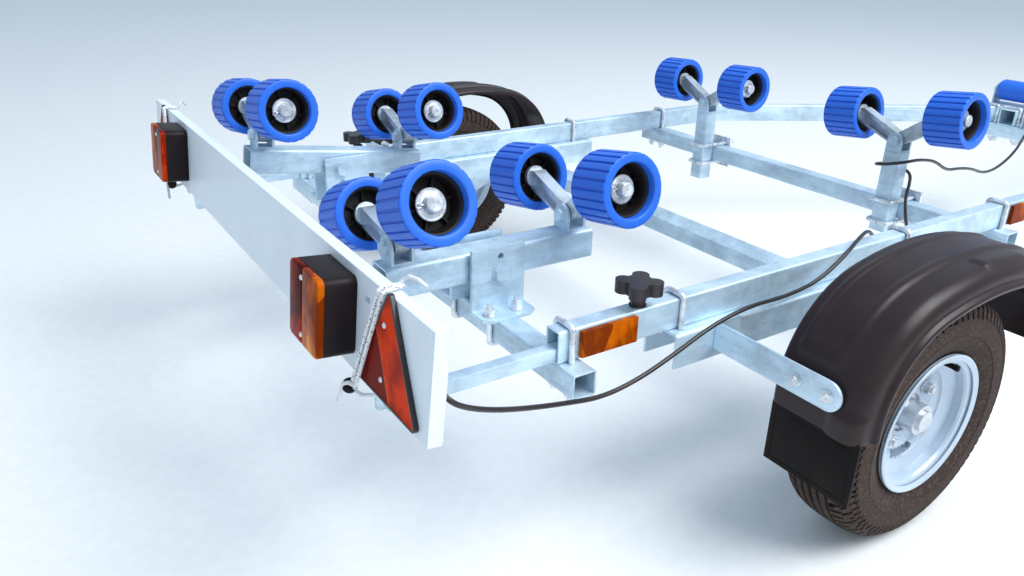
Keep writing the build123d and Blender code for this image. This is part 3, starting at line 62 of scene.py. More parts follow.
Colour = tuple[float, float, float]
Point = tuple[float, float, float]
Marks = tuple[float, float, float, float]
SIDES = {"left": 1, "right": -1}
MIRRORS = (Matrix.Identity(4), Matrix.Diagonal((1, -1, 1, 1)))


def from_rear(point: Sequence[float]) -> Vector:
    """Place in the frame of a point that is given from the rails' rear ends."""
    return Vector(point) + Vector((REAR, 0, 0))


class Axis(Enum):
    """Direction that a turned piece has its axis along."""

    X = (1.0, 0.0, 0.0)
    Y = (0.0, 1.0, 0.0)
    Z = (0.0, 0.0, 1.0)


class Value:
    """A shader socket on which Python's operators add Math nodes."""

    def __init__(self, graph: "Graph", socket: bpy.types.NodeSocket) -> None:
        """Keep the socket and the graph that it is in."""
        self.graph = graph
        self.socket = socket

    def math(self, operation: str, *others: Union["Value", float], first: bool = True) -> "Value":
        """Add one Math node.

        Args:
            operation: Name of the node's operation.
            others: Its other operands.
            first: Whether this value is the first operand.

        Returns:
            The node's result.
        """
        operands = [self, *others] if first else [*others, self]
        inputs = dict(enumerate(operands))
        return self.graph.node("ShaderNodeMath", {"operation": operation}, inputs).out(0)

    def __add__(self, other: Union["Value", float]) -> "Value":
        """Sum."""
        return self.math("ADD", other)

    __radd__ = __add__

    def __mul__(self, other: Union["Value", float]) -> "Value":
        """Product."""
        return self.math("MULTIPLY", other)

    __rmul__ = __mul__

    def __sub__(self, other: Union["Value", float]) -> "Value":
        """Difference."""
        return self.math("SUBTRACT", other)

    def __rsub__(self, other: float) -> "Value":
        """Number less this value."""
        return self.math("SUBTRACT", other, first=False)

    def __lt__(self, other: Union["Value", float]) -> "Value":
        """One where this value is the smaller, otherwise zero."""
        return self.math("LESS_THAN", other)

    def ramp(self, low: float, high: float) -> "Value":
        """Zero below low, one above high and smooth in between.

        Args:
            low: Where it starts to rise.
            high: Where it reaches one.

        Returns:
            The ramp.
        """
        settings = {"interpolation_type": "SMOOTHSTEP"}
        inputs = {"Value": self, "From Min": low, "From Max": high, "To Min": 0.0, "To Max": 1.0}
        return self.graph.node("ShaderNodeMapRange", settings, inputs).out(0)

    def wave(self, pitch: float) -> "Value":
        """Smooth wave from zero to one, a pitch long in metres."""
        return (self * (2.0 * math.pi / pitch)).math("SINE") * 0.5 + 0.5


@dataclass
class Made:
    """A node that has been added to a graph."""

    graph: "Graph"
    node: bpy.types.Node

    def out(self, key: Union[int, str]) -> Value:
        """Output socket by number or name."""
        return Value(self.graph, self.node.outputs[key])


class Graph:
    """Node tree of one material, world or lamp."""

    def __init__(self, tree: bpy.types.NodeTree) -> None:
        """Take over a tree and empty it."""
        self.tree = tree
        tree.nodes.clear()

    def node(self, kind: str, settings: Optional[dict] = None, inputs: Optional[dict] = None) -> Made:
        """Add one node.

        Args:
            kind: Node type.
            settings: Properties set before its sockets, or a colour ramp's stops.
            inputs: Values or links of its input sockets.

        Returns:
            The new node.
        """
        made = self.tree.nodes.new(kind)
        for key, value in (settings or {}).items():
            if key == "stops":
                ramp = made.color_ramp
                while len(ramp.elements) < len(value):
                    ramp.elements.new(0.5)
                for element, (place, colour) in zip(ramp.elements, value):
                    element.position, element.color = place, (*colour, 1.0)
            else:
                setattr(made, key, value)
        for key, value in (inputs or {}).items():
            socket = made.inputs[key]
            if isinstance(value, Value):
                self.tree.links.new(value.socket, socket)
            elif isinstance(value, tuple) and len(value) == 3 and socket.type == "RGBA":
                socket.default_value = (*value, 1.0)
            else:
                socket.default_value = value
        return Made(self, made)

    def place(self, scale: Point = (1.0, 1.0, 1.0)) -> Value:
        """Object coordinates in metres, scaled."""
        where = self.node("ShaderNodeTexCoord").out("Object")
        return self.node("ShaderNodeMapping", {}, {"Vector": where, "Scale": scale}).out(0)

    def axes(self) -> Made:
        """Object coordinates in metres as three outputs."""
        return self.node("ShaderNodeSeparateXYZ", {}, {0: self.place()})

    def noise(self, scale: float, detail: float = 4.0, rough: float = 0.55,
              stretch: Point = (1.0, 1.0, 1.0)) -> Value:
        """Noise over the object's own coordinates, from about 0.3 to 0.7."""
        inputs = {"Vector": self.place(stretch), "Scale": scale, "Detail": detail, "Roughness": rough}
        return self.node("ShaderNodeTexNoise", {}, inputs).out(0)

    def cells(self, scale: float, output: str = "Distance", stretch: Point = (1.0, 1.0, 1.0)) -> Value:
        """Voronoi cells over the object's own coordinates."""
        inputs = {"Vector": self.place(stretch), "Scale": scale}
        return self.node("ShaderNodeTexVoronoi", {}, inputs).out(output)

    def tones(self, scale: float, stretch: Point = (1.0, 1.0, 1.0)) -> Value:
        """Voronoi cells, each of one tone."""
        return self.node("ShaderNodeSeparateColor", {}, {0: self.cells(scale, "Color", stretch)}).out(0)

    def blend(self, amount: Value, first: Union[Value, Colour], second: Union[Value, Colour]) -> Value:
        """Colour between two colours."""
        inputs = {0: amount, 6: self.rgba(first), 7: self.rgba(second)}
        return self.node("ShaderNodeMix", {"data_type": "RGBA"}, inputs).out(2)

    @staticmethod
    def rgba(colour: Union[Value, Colour]) -> Union[Value, tuple]:
        """Colour as a socket takes it."""
        return colour if isinstance(colour, Value) else (*colour, 1.0)

    def bump(self, height: Value, strength: float, distance: float, base: Optional[Value] = None) -> Value:
        """Normal bent by a height.

        Args:
            height: Height that bends it.
            strength: Share of the effect, up to 1.
            distance: Height in metres where the value is 1.
            base: Normal to start from, if it isn't the surface's own.

        Returns:
            The bent normal.
        """
        inputs = {"Height": height, "Strength": strength, "Distance": distance}
        if base is not None:
            inputs["Normal"] = base
        return self.node("ShaderNodeBump", {}, inputs).out(0)

    def soft_edge(self, radius: float) -> Value:
        """Normal that rounds edges a little."""
        return self.node("ShaderNodeBevel", {"samples": 3}, {"Radius": radius}).out(0)


@dataclass(frozen=True)
class Finish:
    """Plain satin surface that the other finishes build on."""

    name: str
    colour: Colour
    roughness: float
    metallic: float = 0.0
    edge: float = 0.0008

    def material(self) -> bpy.types.Material:
        """Build the material once.

        Returns:
            The material, the same one on each call.
        """
        known = bpy.data.materials.get(self.name)
        if known is not None:
            return known
        made = bpy.data.materials.new(self.name)
        made.use_nodes = True
        made.diffuse_color = (*self.colour, 1.0)
        graph = Graph(made.node_tree)
        settings: dict = {"Base Color": self.colour, "Roughness": self.roughness, "Metallic": self.metallic}
        settings.update(self.vary(graph))
        shader = graph.node("ShaderNodeBsdfPrincipled", {}, settings)
        graph.node("ShaderNodeOutputMaterial", {}, {"Surface": shader.out(0)})
        return made

    def vary(self, graph: Graph) -> dict:
        """Sockets of the shader that differ from the plain values."""
        return {"Normal": graph.soft_edge(self.edge)}


@dataclass(frozen=True)
class Galvanised(Finish):
    """Hot dip zinc with spangle, dull patches, drips and small bright specks."""

    dull: Colour = (0.30, 0.33, 0.37)
    spangle: float = 55.0
    glint: float = 1.25
    depth: float = 0.0012

    def vary(self, graph: Graph) -> dict:
        """Colour, roughness and relief of the zinc coat.

        Args:
            graph: Node tree of the material.

        Returns:
            Values and links for sockets of the shader.
        """
        tone = graph.tones(self.spangle)
        patch = graph.noise(7.0, 6.0, 0.6)
        streak = graph.noise(26.0, 5.0, 0.65, (0.35, 0.35, 1.6))
        speck = graph.noise(420.0, 2.0, 0.5).ramp(0.60, 0.70)
        worn = (patch * 0.6 + streak * 0.4).ramp(0.40, 0.62)
        coat = graph.blend(worn, self.dull, self.colour)
        bright = tuple(min(1.0, c * self.glint) for c in self.colour)
        relief = graph.noise(60.0, 3.0, 0.6) * 0.7 + tone * 0.12 + graph.noise(900.0, 2.0) * 0.12
        return {"Base Color": graph.blend(tone * 0.22 + speck * 0.35, coat, bright),
                "Roughness": self.roughness - worn * 0.14 + tone * 0.10 + speck * 0.1,
                "Normal": graph.bump(relief, 0.35, self.depth, graph.soft_edge(self.edge))}


@dataclass(frozen=True)
class ZincPlate(Finish):
    """Thin bright plating with fine marks, dulled in places."""

    dull: Colour = (0.56, 0.58, 0.61)
    depth: float = 0.0004

    def vary(self, graph: Graph) -> dict:
        """Cloudy tone and fine scratches.

        Args:
            graph: Node tree of the material.

        Returns:
            Values and links for sockets of the shader.
        """
        cloud = graph.noise(45.0, 5.0, 0.6).ramp(0.35, 0.65)
        fine = graph.noise(700.0, 2.0, 0.5)
        return {"Base Color": graph.blend(cloud, self.dull, self.colour),
                "Roughness": self.roughness + cloud * 0.18,
                "Normal": graph.bump(fine, 0.18, self.depth, graph.soft_edge(self.edge))}


@dataclass(frozen=True)
class Moulded(Finish):
    """Moulded plastic or rubber with a fine skin, dust and scuffs."""

    dust: Colour = (0.12, 0.10, 0.09)
    dusty: float = 0.25
    grain: float = 900.0
    depth: float = 0.0003
    dust_scale: float = 14.0
    shine: float = 0.5

    def vary(self, graph: Graph) -> dict:
        """Dust patches, skin grain and a little change of gloss.

        Args:
            graph: Node tree of the material.

        Returns:
            Values and links for sockets of the shader.
        """
        patch = graph.noise(self.dust_scale, 6.0, 0.62).ramp(0.45, 0.72)
        fleck = graph.noise(260.0, 3.0, 0.6).ramp(0.60, 0.72)
        dust = patch * self.dusty + fleck * (self.dusty * 0.5)
        relief = graph.noise(self.grain, 2.0, 0.5)
        return {"Base Color": graph.blend(dust, self.colour, self.dust),
                "Roughness": self.roughness + dust * 0.35,
                "Specular IOR Level": self.shine,
                "Normal": graph.bump(relief, 0.25, self.depth, graph.soft_edge(self.edge))}


@dataclass(frozen=True)
class Lens(Finish):
    """Clear coloured moulding with facets painted lit and shaded, painted glints and fine upright prisms."""

    # Painted shade: the dark tone of the shaded facets.
    deep: Colour = (0.10, 0.004, 0.002)
    pitch: float = 0.0030
    # Colour of the painted glints, a painted highlight on the brightest facets.
    painted_glint: Colour = (1.0, 0.10, 0.01)
    shine: float = 0.05
    depth: float = 0.0005

    def vary(self, graph: Graph) -> dict:
        """Painted light and shade of the facets, painted glints and prisms.

        Args:
            graph: Node tree of the material.

        Returns:
            Values and links for sockets of the shader.
        """
        prism = graph.axes().out(1).wave(self.pitch)
        tone = graph.tones(26.0, (1.0, 1.4, 0.45))
        cloud = graph.noise(22.0, 4.0, 0.6, (1.0, 1.0, 0.5)).ramp(0.36, 0.66)
        # Facets painted between the shade tone and the lens colour: painted light and shade.
        lit = (tone * 0.5 + cloud * 0.5).ramp(0.30, 0.75)
        base = graph.blend(lit, self.deep, self.colour)
        # Mask of the painted glints on some facets, brighter along the prisms.
        glint_mask = (tone * cloud).ramp(0.55, 0.80) * (0.6 + prism * 0.4)
        relief = prism * 0.6 + tone * 0.4
        return {"Base Color": graph.blend(glint_mask, base, self.painted_glint),
                "Roughness": self.roughness + prism * 0.05,
                "Specular IOR Level": self.shine,
                "Normal": graph.bump(relief, 0.12, self.depth, graph.soft_edge(self.edge))}


@dataclass(frozen=True)
class Ridged(Finish):
    """Red reflector with level ridges painted lit and shaded, its inner corner darkened with painted shade, as it
    throws the light elsewhere.
    """

    # Painted shade: the dark tone of the shaded ridges and of the inner corner.
    deep: Colour = (0.085, 0.003, 0.001)
    pitch: float = 0.0030
    seam: float = 0.554
    seam_half: float = 0.0007
    level: float = 0.4465
    slope: float = 0.5
    pale: Colour = (0.62, 0.22, 0.16)
    shine: float = 0.04
    depth: float = 0.0004

    def vary(self, graph: Graph) -> dict:
        """Painted light and shade of the ridges, patches, the painted shade of the inner corner and its pale seam.

        Args:
            graph: Node tree of the material.

        Returns:
            Values and links for sockets of the shader.
        """
        where = graph.axes()
        ridge = where.out(2).wave(self.pitch)
        cell = where.out(1).wave(self.pitch)
        cloud = graph.noise(16.0, 4.0, 0.6).ramp(0.40, 0.60)
        beyond = where.out(1).math("ABSOLUTE") + (where.out(2) - self.level) * self.slope - self.seam
        # Inner corner, where the colour is darkened with painted shade.
        dark = beyond < 0.0
        # Ridges painted light and dark in turn, a painted light and shade, with the inner corner darkened.
        lit = (ridge * 0.55 + cell * 0.10 + cloud * 0.45).ramp(0.15, 0.90) * (1.0 - dark * 0.86)
        base = graph.blend(lit, self.deep, self.colour)
        edge = (beyond.math("ABSOLUTE") < self.seam_half) * 0.55
        return {"Base Color": graph.blend(edge, base, self.pale),
                "Specular IOR Level": self.shine,
                "Normal": graph.bump(ridge * 0.7 + cell * 0.3, 0.2, self.depth)}


@dataclass(frozen=True)
class Braid(Finish):
    """Woven white sleeve of an elastic cord with dark flecks."""

    fleck: Colour = (0.02, 0.02, 0.03)
    plait: float = 1500.0
    depth: float = 0.0005

    def vary(self, graph: Graph) -> dict:
        """Plaited relief and rows of dark flecks.

        Args:
            graph: Node tree of the material.

        Returns:
            Values and links for sockets of the shader.
        """
        where = graph.axes()
        along = where.out(2) * self.plait
        across = where.out(1) * self.plait
        first = (along + across * 0.6).math("SINE")
        second = (along - across * 0.6).math("SINE")
        weave = (first * second) * 0.5 + 0.5
        dots = graph.cells(360.0, stretch=(1.0, 1.0, 0.55)).ramp(0.30, 0.20)
        return {"Base Color": graph.blend(dots, self.colour, self.fleck),
                "Normal": graph.bump(weave, 0.4, self.depth)}


FINISHES: dict[str, Finish] = {
    "galvanised": Galvanised("galvanised steel", (0.64, 0.80, 0.93), roughness=0.50, metallic=0.45,
                             edge=0.0015, dull=(0.39, 0.50, 0.60)),
    "crank_steel": Galvanised("galvanised pressing", (0.66, 0.74, 0.80), roughness=0.50, metallic=0.70,
                              edge=0.0012, dull=(0.32, 0.36, 0.40), spangle=80.0),
    "zinc_plate": ZincPlate("zinc plate", (0.88, 0.92, 0.95), roughness=0.24, metallic=0.6),
    "hub_steel": ZincPlate("hub steel", (0.66, 0.69, 0.73), roughness=0.24, metallic=0.75),
    "black_plastic": Moulded("black moulding", (0.020, 0.015, 0.016), roughness=0.36, edge=0.001,
                             dust=(0.07, 0.055, 0.055), dusty=0.30),
    "black_rubber": Moulded("black rubber", (0.011, 0.009, 0.009), roughness=0.5, edge=0.0006,
                            dust=(0.04, 0.030, 0.026), dusty=0.25, shine=0.08),
    "tyre_rubber": Moulded("tyre rubber", (0.040, 0.026, 0.022), roughness=0.76, edge=0.0004,
                           dust=(0.145, 0.100, 0.080), dusty=0.60, grain=330.0, depth=0.0022,
                           dust_scale=170.0, shine=0.2),
    "silver_paint": Moulded("silver paint", (0.52, 0.61, 0.71), roughness=0.32, metallic=0.35, edge=0.001,
                            dust=(0.42, 0.44, 0.46), dusty=0.20, grain=1200.0, depth=0.0001),
    # Each lens has a darker tone painted as shade of its facets and a colour of painted glints.
    "amber_lens": Lens("amber lens", (0.56, 0.115, 0.002), roughness=0.24, deep=(0.20, 0.028, 0.001),
                       painted_glint=(0.85, 0.30, 0.012), shine=0.04),
    "red_lens": Lens("red lens", (0.34, 0.016, 0.001), roughness=0.24, deep=(0.075, 0.003, 0.001),
                     painted_glint=(0.60, 0.060, 0.005), shine=0.04),
    # The white board's colour is tinted cool grey: painted shade, as its seen rear face lies in shade.
    "white_plastic": Moulded("white board", (0.76, 0.84, 0.90), roughness=0.38, edge=0.0015,
                             dust=(0.62, 0.60, 0.56), dusty=0.16, grain=500.0, depth=0.0002),
    "blue_roller": Moulded("blue roller", (0.012, 0.135, 0.68), roughness=0.42, edge=0.0009,
                           dust=(0.05, 0.15, 0.55), dusty=0.15),
    "grey_rubber": Moulded("grey rubber", (0.08, 0.08, 0.08), roughness=0.6, edge=0.001,
                           dust=(0.2, 0.18, 0.16), dusty=0.3),
    "black_cable": Moulded("cable sheath", (0.018, 0.013, 0.013), roughness=0.33, edge=0.0003,
                           dust=(0.08, 0.06, 0.05)),
    "white_cord": Braid("elastic sleeve", (0.82, 0.83, 0.85), roughness=0.8),
}

# Finishes of single pieces, which differ from their slot's
MUDGUARD = Moulded("mudguard moulding", (0.021, 0.011, 0.012), roughness=0.31, dust=(0.050, 0.032, 0.031),
                   dusty=0.20, grain=1500.0, depth=0.00025, dust_scale=9.0, shine=0.30)
HOUSING = Moulded("lamp housing", (0.013, 0.008, 0.009), roughness=0.42, edge=0.001,
                  dust=(0.055, 0.038, 0.038), dusty=0.15, shine=0.14)
SLEEVE = Moulded("hook sleeve", (0.70, 0.73, 0.76), roughness=0.30, edge=0.0004, dust=(0.45, 0.44, 0.42),
                 dusty=0.2)
CORE = Moulded("roller core", (0.010, 0.008, 0.008), roughness=0.5, edge=0.0006, dust=(0.050, 0.040, 0.034),
               dusty=0.30, shine=0.25)
REFLECTOR = Ridged("triangle field", (0.86, 0.050, 0.001), roughness=0.34)


class Bench:
    """Blender's modelling operators, each starting from a clean selection."""

    @staticmethod
    def clear() -> None:
        """Leave edit mode and select nothing."""
        active = bpy.context.view_layer.objects.active
        if active is not None and active.mode != "OBJECT":
            bpy.ops.object.mode_set(mode="OBJECT")
        bpy.ops.object.select_all(action="DESELECT")

    @staticmethod
    def only(obj: bpy.types.Object) -> None:
        """Select one object alone and make it the active one.

        Args:
            obj: Object to work on.
        """
        Bench.clear()
        bpy.context.view_layer.objects.active = obj
        obj.select_set(True)

    @staticmethod
    def edit(obj: bpy.types.Object) -> None:
        """Enter edit mode on one object."""
        Bench.only(obj)
        bpy.ops.object.mode_set(mode="EDIT")

    @staticmethod
    def modify(obj: bpy.types.Object, kind: str,
               **settings: Union[str, float, bool, bpy.types.Object]) -> None:
        """Add a modifier and apply it.

        Args:
            obj: Object to change.
            kind: Type of the modifier.
            settings: Its properties.
        """
        Bench.only(obj)
        step = obj.modifiers.new(kind.lower(), kind)
        for key, value in settings.items():
            setattr(step, key, value)
        bpy.ops.object.modifier_apply(modifier=step.name)

    @staticmethod
    def settle(name: str) -> bpy.types.Object:
        """Name the active object and put its place into its mesh.

        Args:
            name: Name of the new object.

        Returns:
            The active object.
        """
        made = bpy.context.active_object
        made.name = name
        made.data.name = name
        bpy.ops.object.transform_apply(location=True, rotation=True, scale=True)
        return made

    @staticmethod
    def block(name: str, low: Sequence[float], high: Sequence[float]) -> bpy.types.Object:
        """Box between two corners.

        Args:
            name: Name of the new object.
            low: Lowest corner.
            high: Highest corner.

        Returns:
            The new object.
        """
        Bench.clear()
        low, high = Vector(low), Vector(high)
        bpy.ops.mesh.primitive_cube_add(size=1.0, location=(low + high) / 2)
        bpy.context.active_object.scale = high - low
        return Bench.settle(name)

    @staticmethod
    def rod(name: str, start: Sequence[float], end: Sequence[float], radius: float,
            sides: int = 32) -> bpy.types.Object:
        """Cylinder between two points.

        Args:
            name: Name of the new object.
            start: Centre of one end.
            end: Centre of the other end.
            radius: Radius in metres.
            sides: Faces round it.

        Returns:
            The new object.
        """
        Bench.clear()
        start, end = Vector(start), Vector(end)
        turn = Vector((0, 0, 1)).rotation_difference(end - start).to_euler()
        bpy.ops.mesh.primitive_cylinder_add(vertices=sides, radius=radius, depth=(end - start).length,
                                            location=(start + end) / 2, rotation=turn)
        return Bench.settle(name)

    @staticmethod
    def ball(name: str, centre: Sequence[float], radius: float, segments: int = 14) -> bpy.types.Object:
        """Sphere for the knee of a bent rod or the head of a rivet.

        Args:
            name: Name of the new object.
            centre: Its centre.
            radius: Radius in metres.
            segments: Faces round it.

        Returns:
            The new object.
        """
        Bench.clear()
        bpy.ops.mesh.primitive_uv_sphere_add(segments=segments, ring_count=segments // 2, radius=radius,
                                             location=centre)
        return Bench.settle(name)

    @staticmethod
    def sheet(name: str, rows: int, columns: int, place: Callable[[float, float], Point]) -> bpy.types.Object:
        """Grid laid on a curved surface.

        Args:
            name: Name of the new object.
            rows: Faces along the first direction.
            columns: Faces along the second direction.
            place: Gives the point for two fractions from 0 to 1.

        Returns:
            The new object.
        """
        Bench.clear()
        bpy.ops.mesh.primitive_grid_add(x_subdivisions=rows, y_subdivisions=columns, size=1.0)
        grid = Bench.settle(name)
        for vertex in grid.data.vertices:
            vertex.co = place(vertex.co.x + 0.5, vertex.co.y + 0.5)
        return grid

    @staticmethod
    def outline(name: str, points: Sequence[Sequence[float]], closed: bool = True) -> bpy.types.Object:
        """Chain of edges through points, drawn by extruding a vertex.

        Args:
            name: Name of the new object.
            points: The points in order.
            closed: Whether the last point is joined to the first.

        Returns:
            The new object.
        """
        Bench.clear()
        bpy.ops.mesh.primitive_plane_add(size=0.01, location=points[0])
        bpy.ops.object.mode_set(mode="EDIT")
        bpy.ops.mesh.select_mode(type="VERT")
        bpy.ops.mesh.merge(type="CENTER")
        for here, there in zip(points, points[1:]):
            step = Vector(there) - Vector(here)
            bpy.ops.mesh.extrude_region_move(TRANSFORM_OT_translate={"value": step})
        if closed:
            bpy.ops.mesh.select_all(action="SELECT")
            bpy.ops.mesh.edge_face_add()
            bpy.ops.mesh.delete(type="ONLY_FACE")
        bpy.ops.object.mode_set(mode="OBJECT")
        return Bench.settle(name)

    @staticmethod
    def spin(obj: bpy.types.Object, axis: Axis, steps: int) -> None:
        """Turn the whole mesh once round an axis through the origin and close it.

        Args:
            obj: Object to change.
            axis: Axis to turn round.
            steps: Faces in one turn.
        """
        Bench.edit(obj)
        bpy.ops.mesh.select_all(action="SELECT")
        bpy.ops.mesh.spin(steps=steps, angle=2 * math.pi, center=(0, 0, 0), axis=axis.value)
        bpy.ops.mesh.select_all(action="SELECT")
        bpy.ops.mesh.remove_doubles(threshold=0.00002)
        bpy.ops.mesh.normals_make_consistent(inside=False)
        bpy.ops.object.mode_set(mode="OBJECT")

    @staticmethod
    def turned(name: str, ring: Sequence[tuple[float, float]], axis: Axis, steps: int,
               closed: bool = True) -> bpy.types.Object:
        """Piece turned about the Y or Z axis.

        Args:
            name: Name of the new object.
            ring: Section, as radius and distance along the axis.
            axis: Axis to turn round.
            steps: Faces in one turn.
            closed: Whether the section's last point is joined to its first.

        Returns:
            The new object.
        """
        if axis is Axis.Y:
            points = [(0.0, along, radius) for radius, along in ring]
        else:
            points = [(radius, 0.0, along) for radius, along in ring]
        made = Bench.outline(name, points, closed)
        Bench.spin(made, axis, steps)
        return made

    @staticmethod
    def fill(obj: bpy.types.Object, normal: Sequence[float]) -> None:
        """Close an outline with one face that looks along a direction.

        Args:
            obj: Object to change.
            normal: Direction that the face looks along.
        """
        Bench.edit(obj)
        bpy.ops.mesh.select_mode(type="EDGE")
        bpy.ops.mesh.select_all(action="SELECT")
        bpy.ops.mesh.edge_face_add()
        bpy.ops.object.mode_set(mode="OBJECT")
        if obj.data.polygons[0].normal.dot(Vector(normal)) < 0:
            obj.data.flip_normals()

    @staticmethod
    def thicken(obj: bpy.types.Object, wall: float) -> None:
        """Give a shell its wall, on its inner side."""
        Bench.modify(obj, "SOLIDIFY", thickness=wall, offset=-1.0, use_even_offset=True)

    @staticmethod
    def round_along(obj: bpy.types.Object, axis: Axis, radius: float, segments: int,
                    test: Optional[Callable[[Vector], bool]] = None) -> None:
        """Round the edges that run along an axis, where both ends pass a test.

        Args:
            obj: Object to change.
            axis: Axis that the edges run along.
            radius: Radius of the rounding.
            segments: Faces across it.
            test: Says whether an end is at the right place.
        """
        Bench.edit(obj)
        bpy.ops.mesh.select_mode(type="EDGE")
        bpy.ops.mesh.select_all(action="DESELECT")
        bpy.ops.object.mode_set(mode="OBJECT")
        points = obj.data.vertices
        for edge in obj.data.edges:
            first, second = (points[k].co for k in edge.vertices)
            along = abs((second - first).normalized().dot(Vector(axis.value))) > 0.99
            edge.select = along and (test is None or (test(first) and test(second)))
        bpy.ops.object.mode_set(mode="EDIT")
        bpy.ops.mesh.bevel(offset=radius, segments=segments, profile=0.5)
        bpy.ops.object.mode_set(mode="OBJECT")

    @staticmethod
    def pick(obj: bpy.types.Object, test: Callable[[bpy.types.MeshPolygon], bool]) -> int:
        """Select the faces that pass a test, in edit mode.

        Args:
            obj: Object to edit.
            test: Says whether a face is wanted.

        Returns:
            How many faces are selected.
        """
        Bench.edit(obj)
        bpy.ops.mesh.select_mode(type="FACE")
        bpy.ops.mesh.select_all(action="DESELECT")
        bpy.ops.object.mode_set(mode="OBJECT")
        count = 0
        for face in obj.data.polygons:
            face.select = bool(test(face))
            count += face.select
        bpy.ops.object.mode_set(mode="EDIT")
        return count

    @staticmethod
    def push(obj: bpy.types.Object, test: Callable[[bpy.types.MeshPolygon], bool], depth: float,
             inset: float = 0.0) -> None:
        """Inset the faces that pass a test and push them out, or in if depth is below zero.

        Args:
            obj: Object to change.
            test: Says whether a face is wanted.
            depth: How far out, in metres.
            inset: How far in from the edges.
        """
        if not Bench.pick(obj, test):
            LOG.warning("%s: no face to push", obj.name)
            bpy.ops.object.mode_set(mode="OBJECT")
            return
        if inset:
            bpy.ops.mesh.inset(thickness=inset)
        if depth:
            bpy.ops.mesh.extrude_region_shrink_fatten(TRANSFORM_OT_shrink_fatten={"value": depth})
        bpy.ops.object.mode_set(mode="OBJECT")

    @staticmethod
    def bore(obj: bpy.types.Object, cutter: bpy.types.Object) -> None:
        """Take a cutter's volume out of an object and remove the cutter."""
        Bench.modify(obj, "BOOLEAN", operation="DIFFERENCE", object=cutter)
        Bench.drop(cutter)

    @staticmethod
    def bent_rod(name: str, points: Sequence[Sequence[float]], radius: float) -> bpy.types.Object:
        """Round rod through points, with a ball in each knee and at each end.

        Args:
            name: Name of the new object.
            points: Its ends and knees.
            radius: Radius in metres.

        Returns:
            The new object.
        """
        parts = [Bench.rod("length", a, b, radius, 14) for a, b in zip(points, points[1:])]
        parts += [Bench.ball("knee", point, radius * 1.01) for point in points]
        rod = Bench.join(name, parts)
        Bench.smooth(rod, 60.0)
        return rod

    @staticmethod
    def bevel(obj: bpy.types.Object, width: float, segments: int = 2, angle: float = 35.0) -> None:
        """Round the edges that are sharper than an angle in degrees."""
        Bench.modify(obj, "BEVEL", width=width, segments=segments, limit_method="ANGLE",
                     angle_limit=math.radians(angle))

    @staticmethod
    def join(name: str, parts: Sequence[bpy.types.Object]) -> bpy.types.Object:
        """Make one object of several.

        Args:
            name: Name of the whole.
            parts: Objects to join.

        Returns:
            The whole.
        """
        Bench.clear()
        for part in parts:
            part.select_set(True)
        bpy.context.view_layer.objects.active = parts[0]
        if len(parts) > 1:
            bpy.ops.object.join()
        parts[0].name = name
        parts[0].data.name = name
        return parts[0]

    @staticmethod
    def smooth(obj: bpy.types.Object, angle: float = 35.0) -> None:
        """Smooth shading, except over edges sharper than an angle in degrees."""
        Bench.only(obj)
        bpy.ops.object.shade_smooth_by_angle(angle=math.radians(angle))

    @staticmethod
    def outward(obj: bpy.types.Object) -> None:
        """Merge doubles and point all faces outwards.

        Args:
            obj: Object to change.
        """
        Bench.edit(obj)
        bpy.ops.mesh.select_all(action="SELECT")
        bpy.ops.mesh.remove_doubles(threshold=0.00001)
        bpy.ops.mesh.normals_make_consistent(inside=False)
        bpy.ops.object.mode_set(mode="OBJECT")

    @staticmethod
    def copy(obj: bpy.types.Object, name: str, matrix: Matrix) -> bpy.types.Object:
        """Copy with its own mesh, moved by a matrix that goes into the mesh.

        Args:
            obj: Object to copy.
            name: Name of the copy.
            matrix: Where the copy goes.

        Returns:
            The copy.
        """
        made = obj.copy()
        made.data = obj.data.copy()
        made.name = name
        made.data.name = name
        bpy.context.scene.collection.objects.link(made)
        made.data.transform(matrix)
        if matrix.determinant() < 0:
            made.data.flip_normals()
        made.data.update()
        return made

    @staticmethod
    def drop(*parts: bpy.types.Object) -> None:
        """Delete patterns that were only copied from."""
        for part in parts:
            bpy.data.objects.remove(part)


def paint(obj: bpy.types.Object, finish: Finish) -> None:
    """Give an object one finish in place of what it has."""
    obj.data.materials.clear()
    obj.data.materials.append(finish.material())


def dress(obj: bpy.types.Object, slot: str, body: str, finish: Optional[Finish] = None) -> bpy.types.Object:
    """Give a new piece the finish of its slot, or the one given, and the body that it rides on.

    Args:
        obj: The piece.
        slot: Its material slot.
        body: Body that it rides on.
        finish: Its finish, if it isn't the slot's.

    Returns:
        The piece.
    """
    paint(obj, finish or FINISHES[slot])
    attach(obj, body)
    LOG.info("%s rides on %s", obj.name, body)
    return obj


def mount(name: str, patterns: Sequence[bpy.types.Object], slot: str, body: str, node: Optional[str] = None,
          finish: Optional[Finish] = None, onto: Optional[Matrix] = None) -> None:
    """Copy left-hand patterns to both sides as one dressed piece, and remove the patterns.

    Args:
        name: Name of the piece.
        patterns: Left-hand objects.
        slot: Its material slot.
        body: Body that it rides on.
        node: CAD node that it replaces, if there is one.
        finish: Its finish, if it isn't the slot's.
        onto: Matrix from the patterns' directions to the frame.
    """
    put = MIRRORS[0] if onto is None else onto
    both = [Bench.copy(part, name, put @ side) for part in patterns for side in MIRRORS]
    made = dress(Bench.join(name, both), slot, body, finish)
    if node:
        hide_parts(node)
    Bench.drop(*patterns)


@dataclass
class Joint:
    """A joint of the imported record, looked up by name."""

    name: str

    def entry(self) -> dict:
        """The record's entry."""
        return next(j for j in frame["joints"] if j["name"] == self.name)

    def centre(self) -> Vector:
        """A point on its axis."""
        return Vector(self.entry()["pos_m"])

    def axis(self) -> Vector:
        """Its axis, of unit length."""
        return Vector(self.entry()["axis"]).normalized()


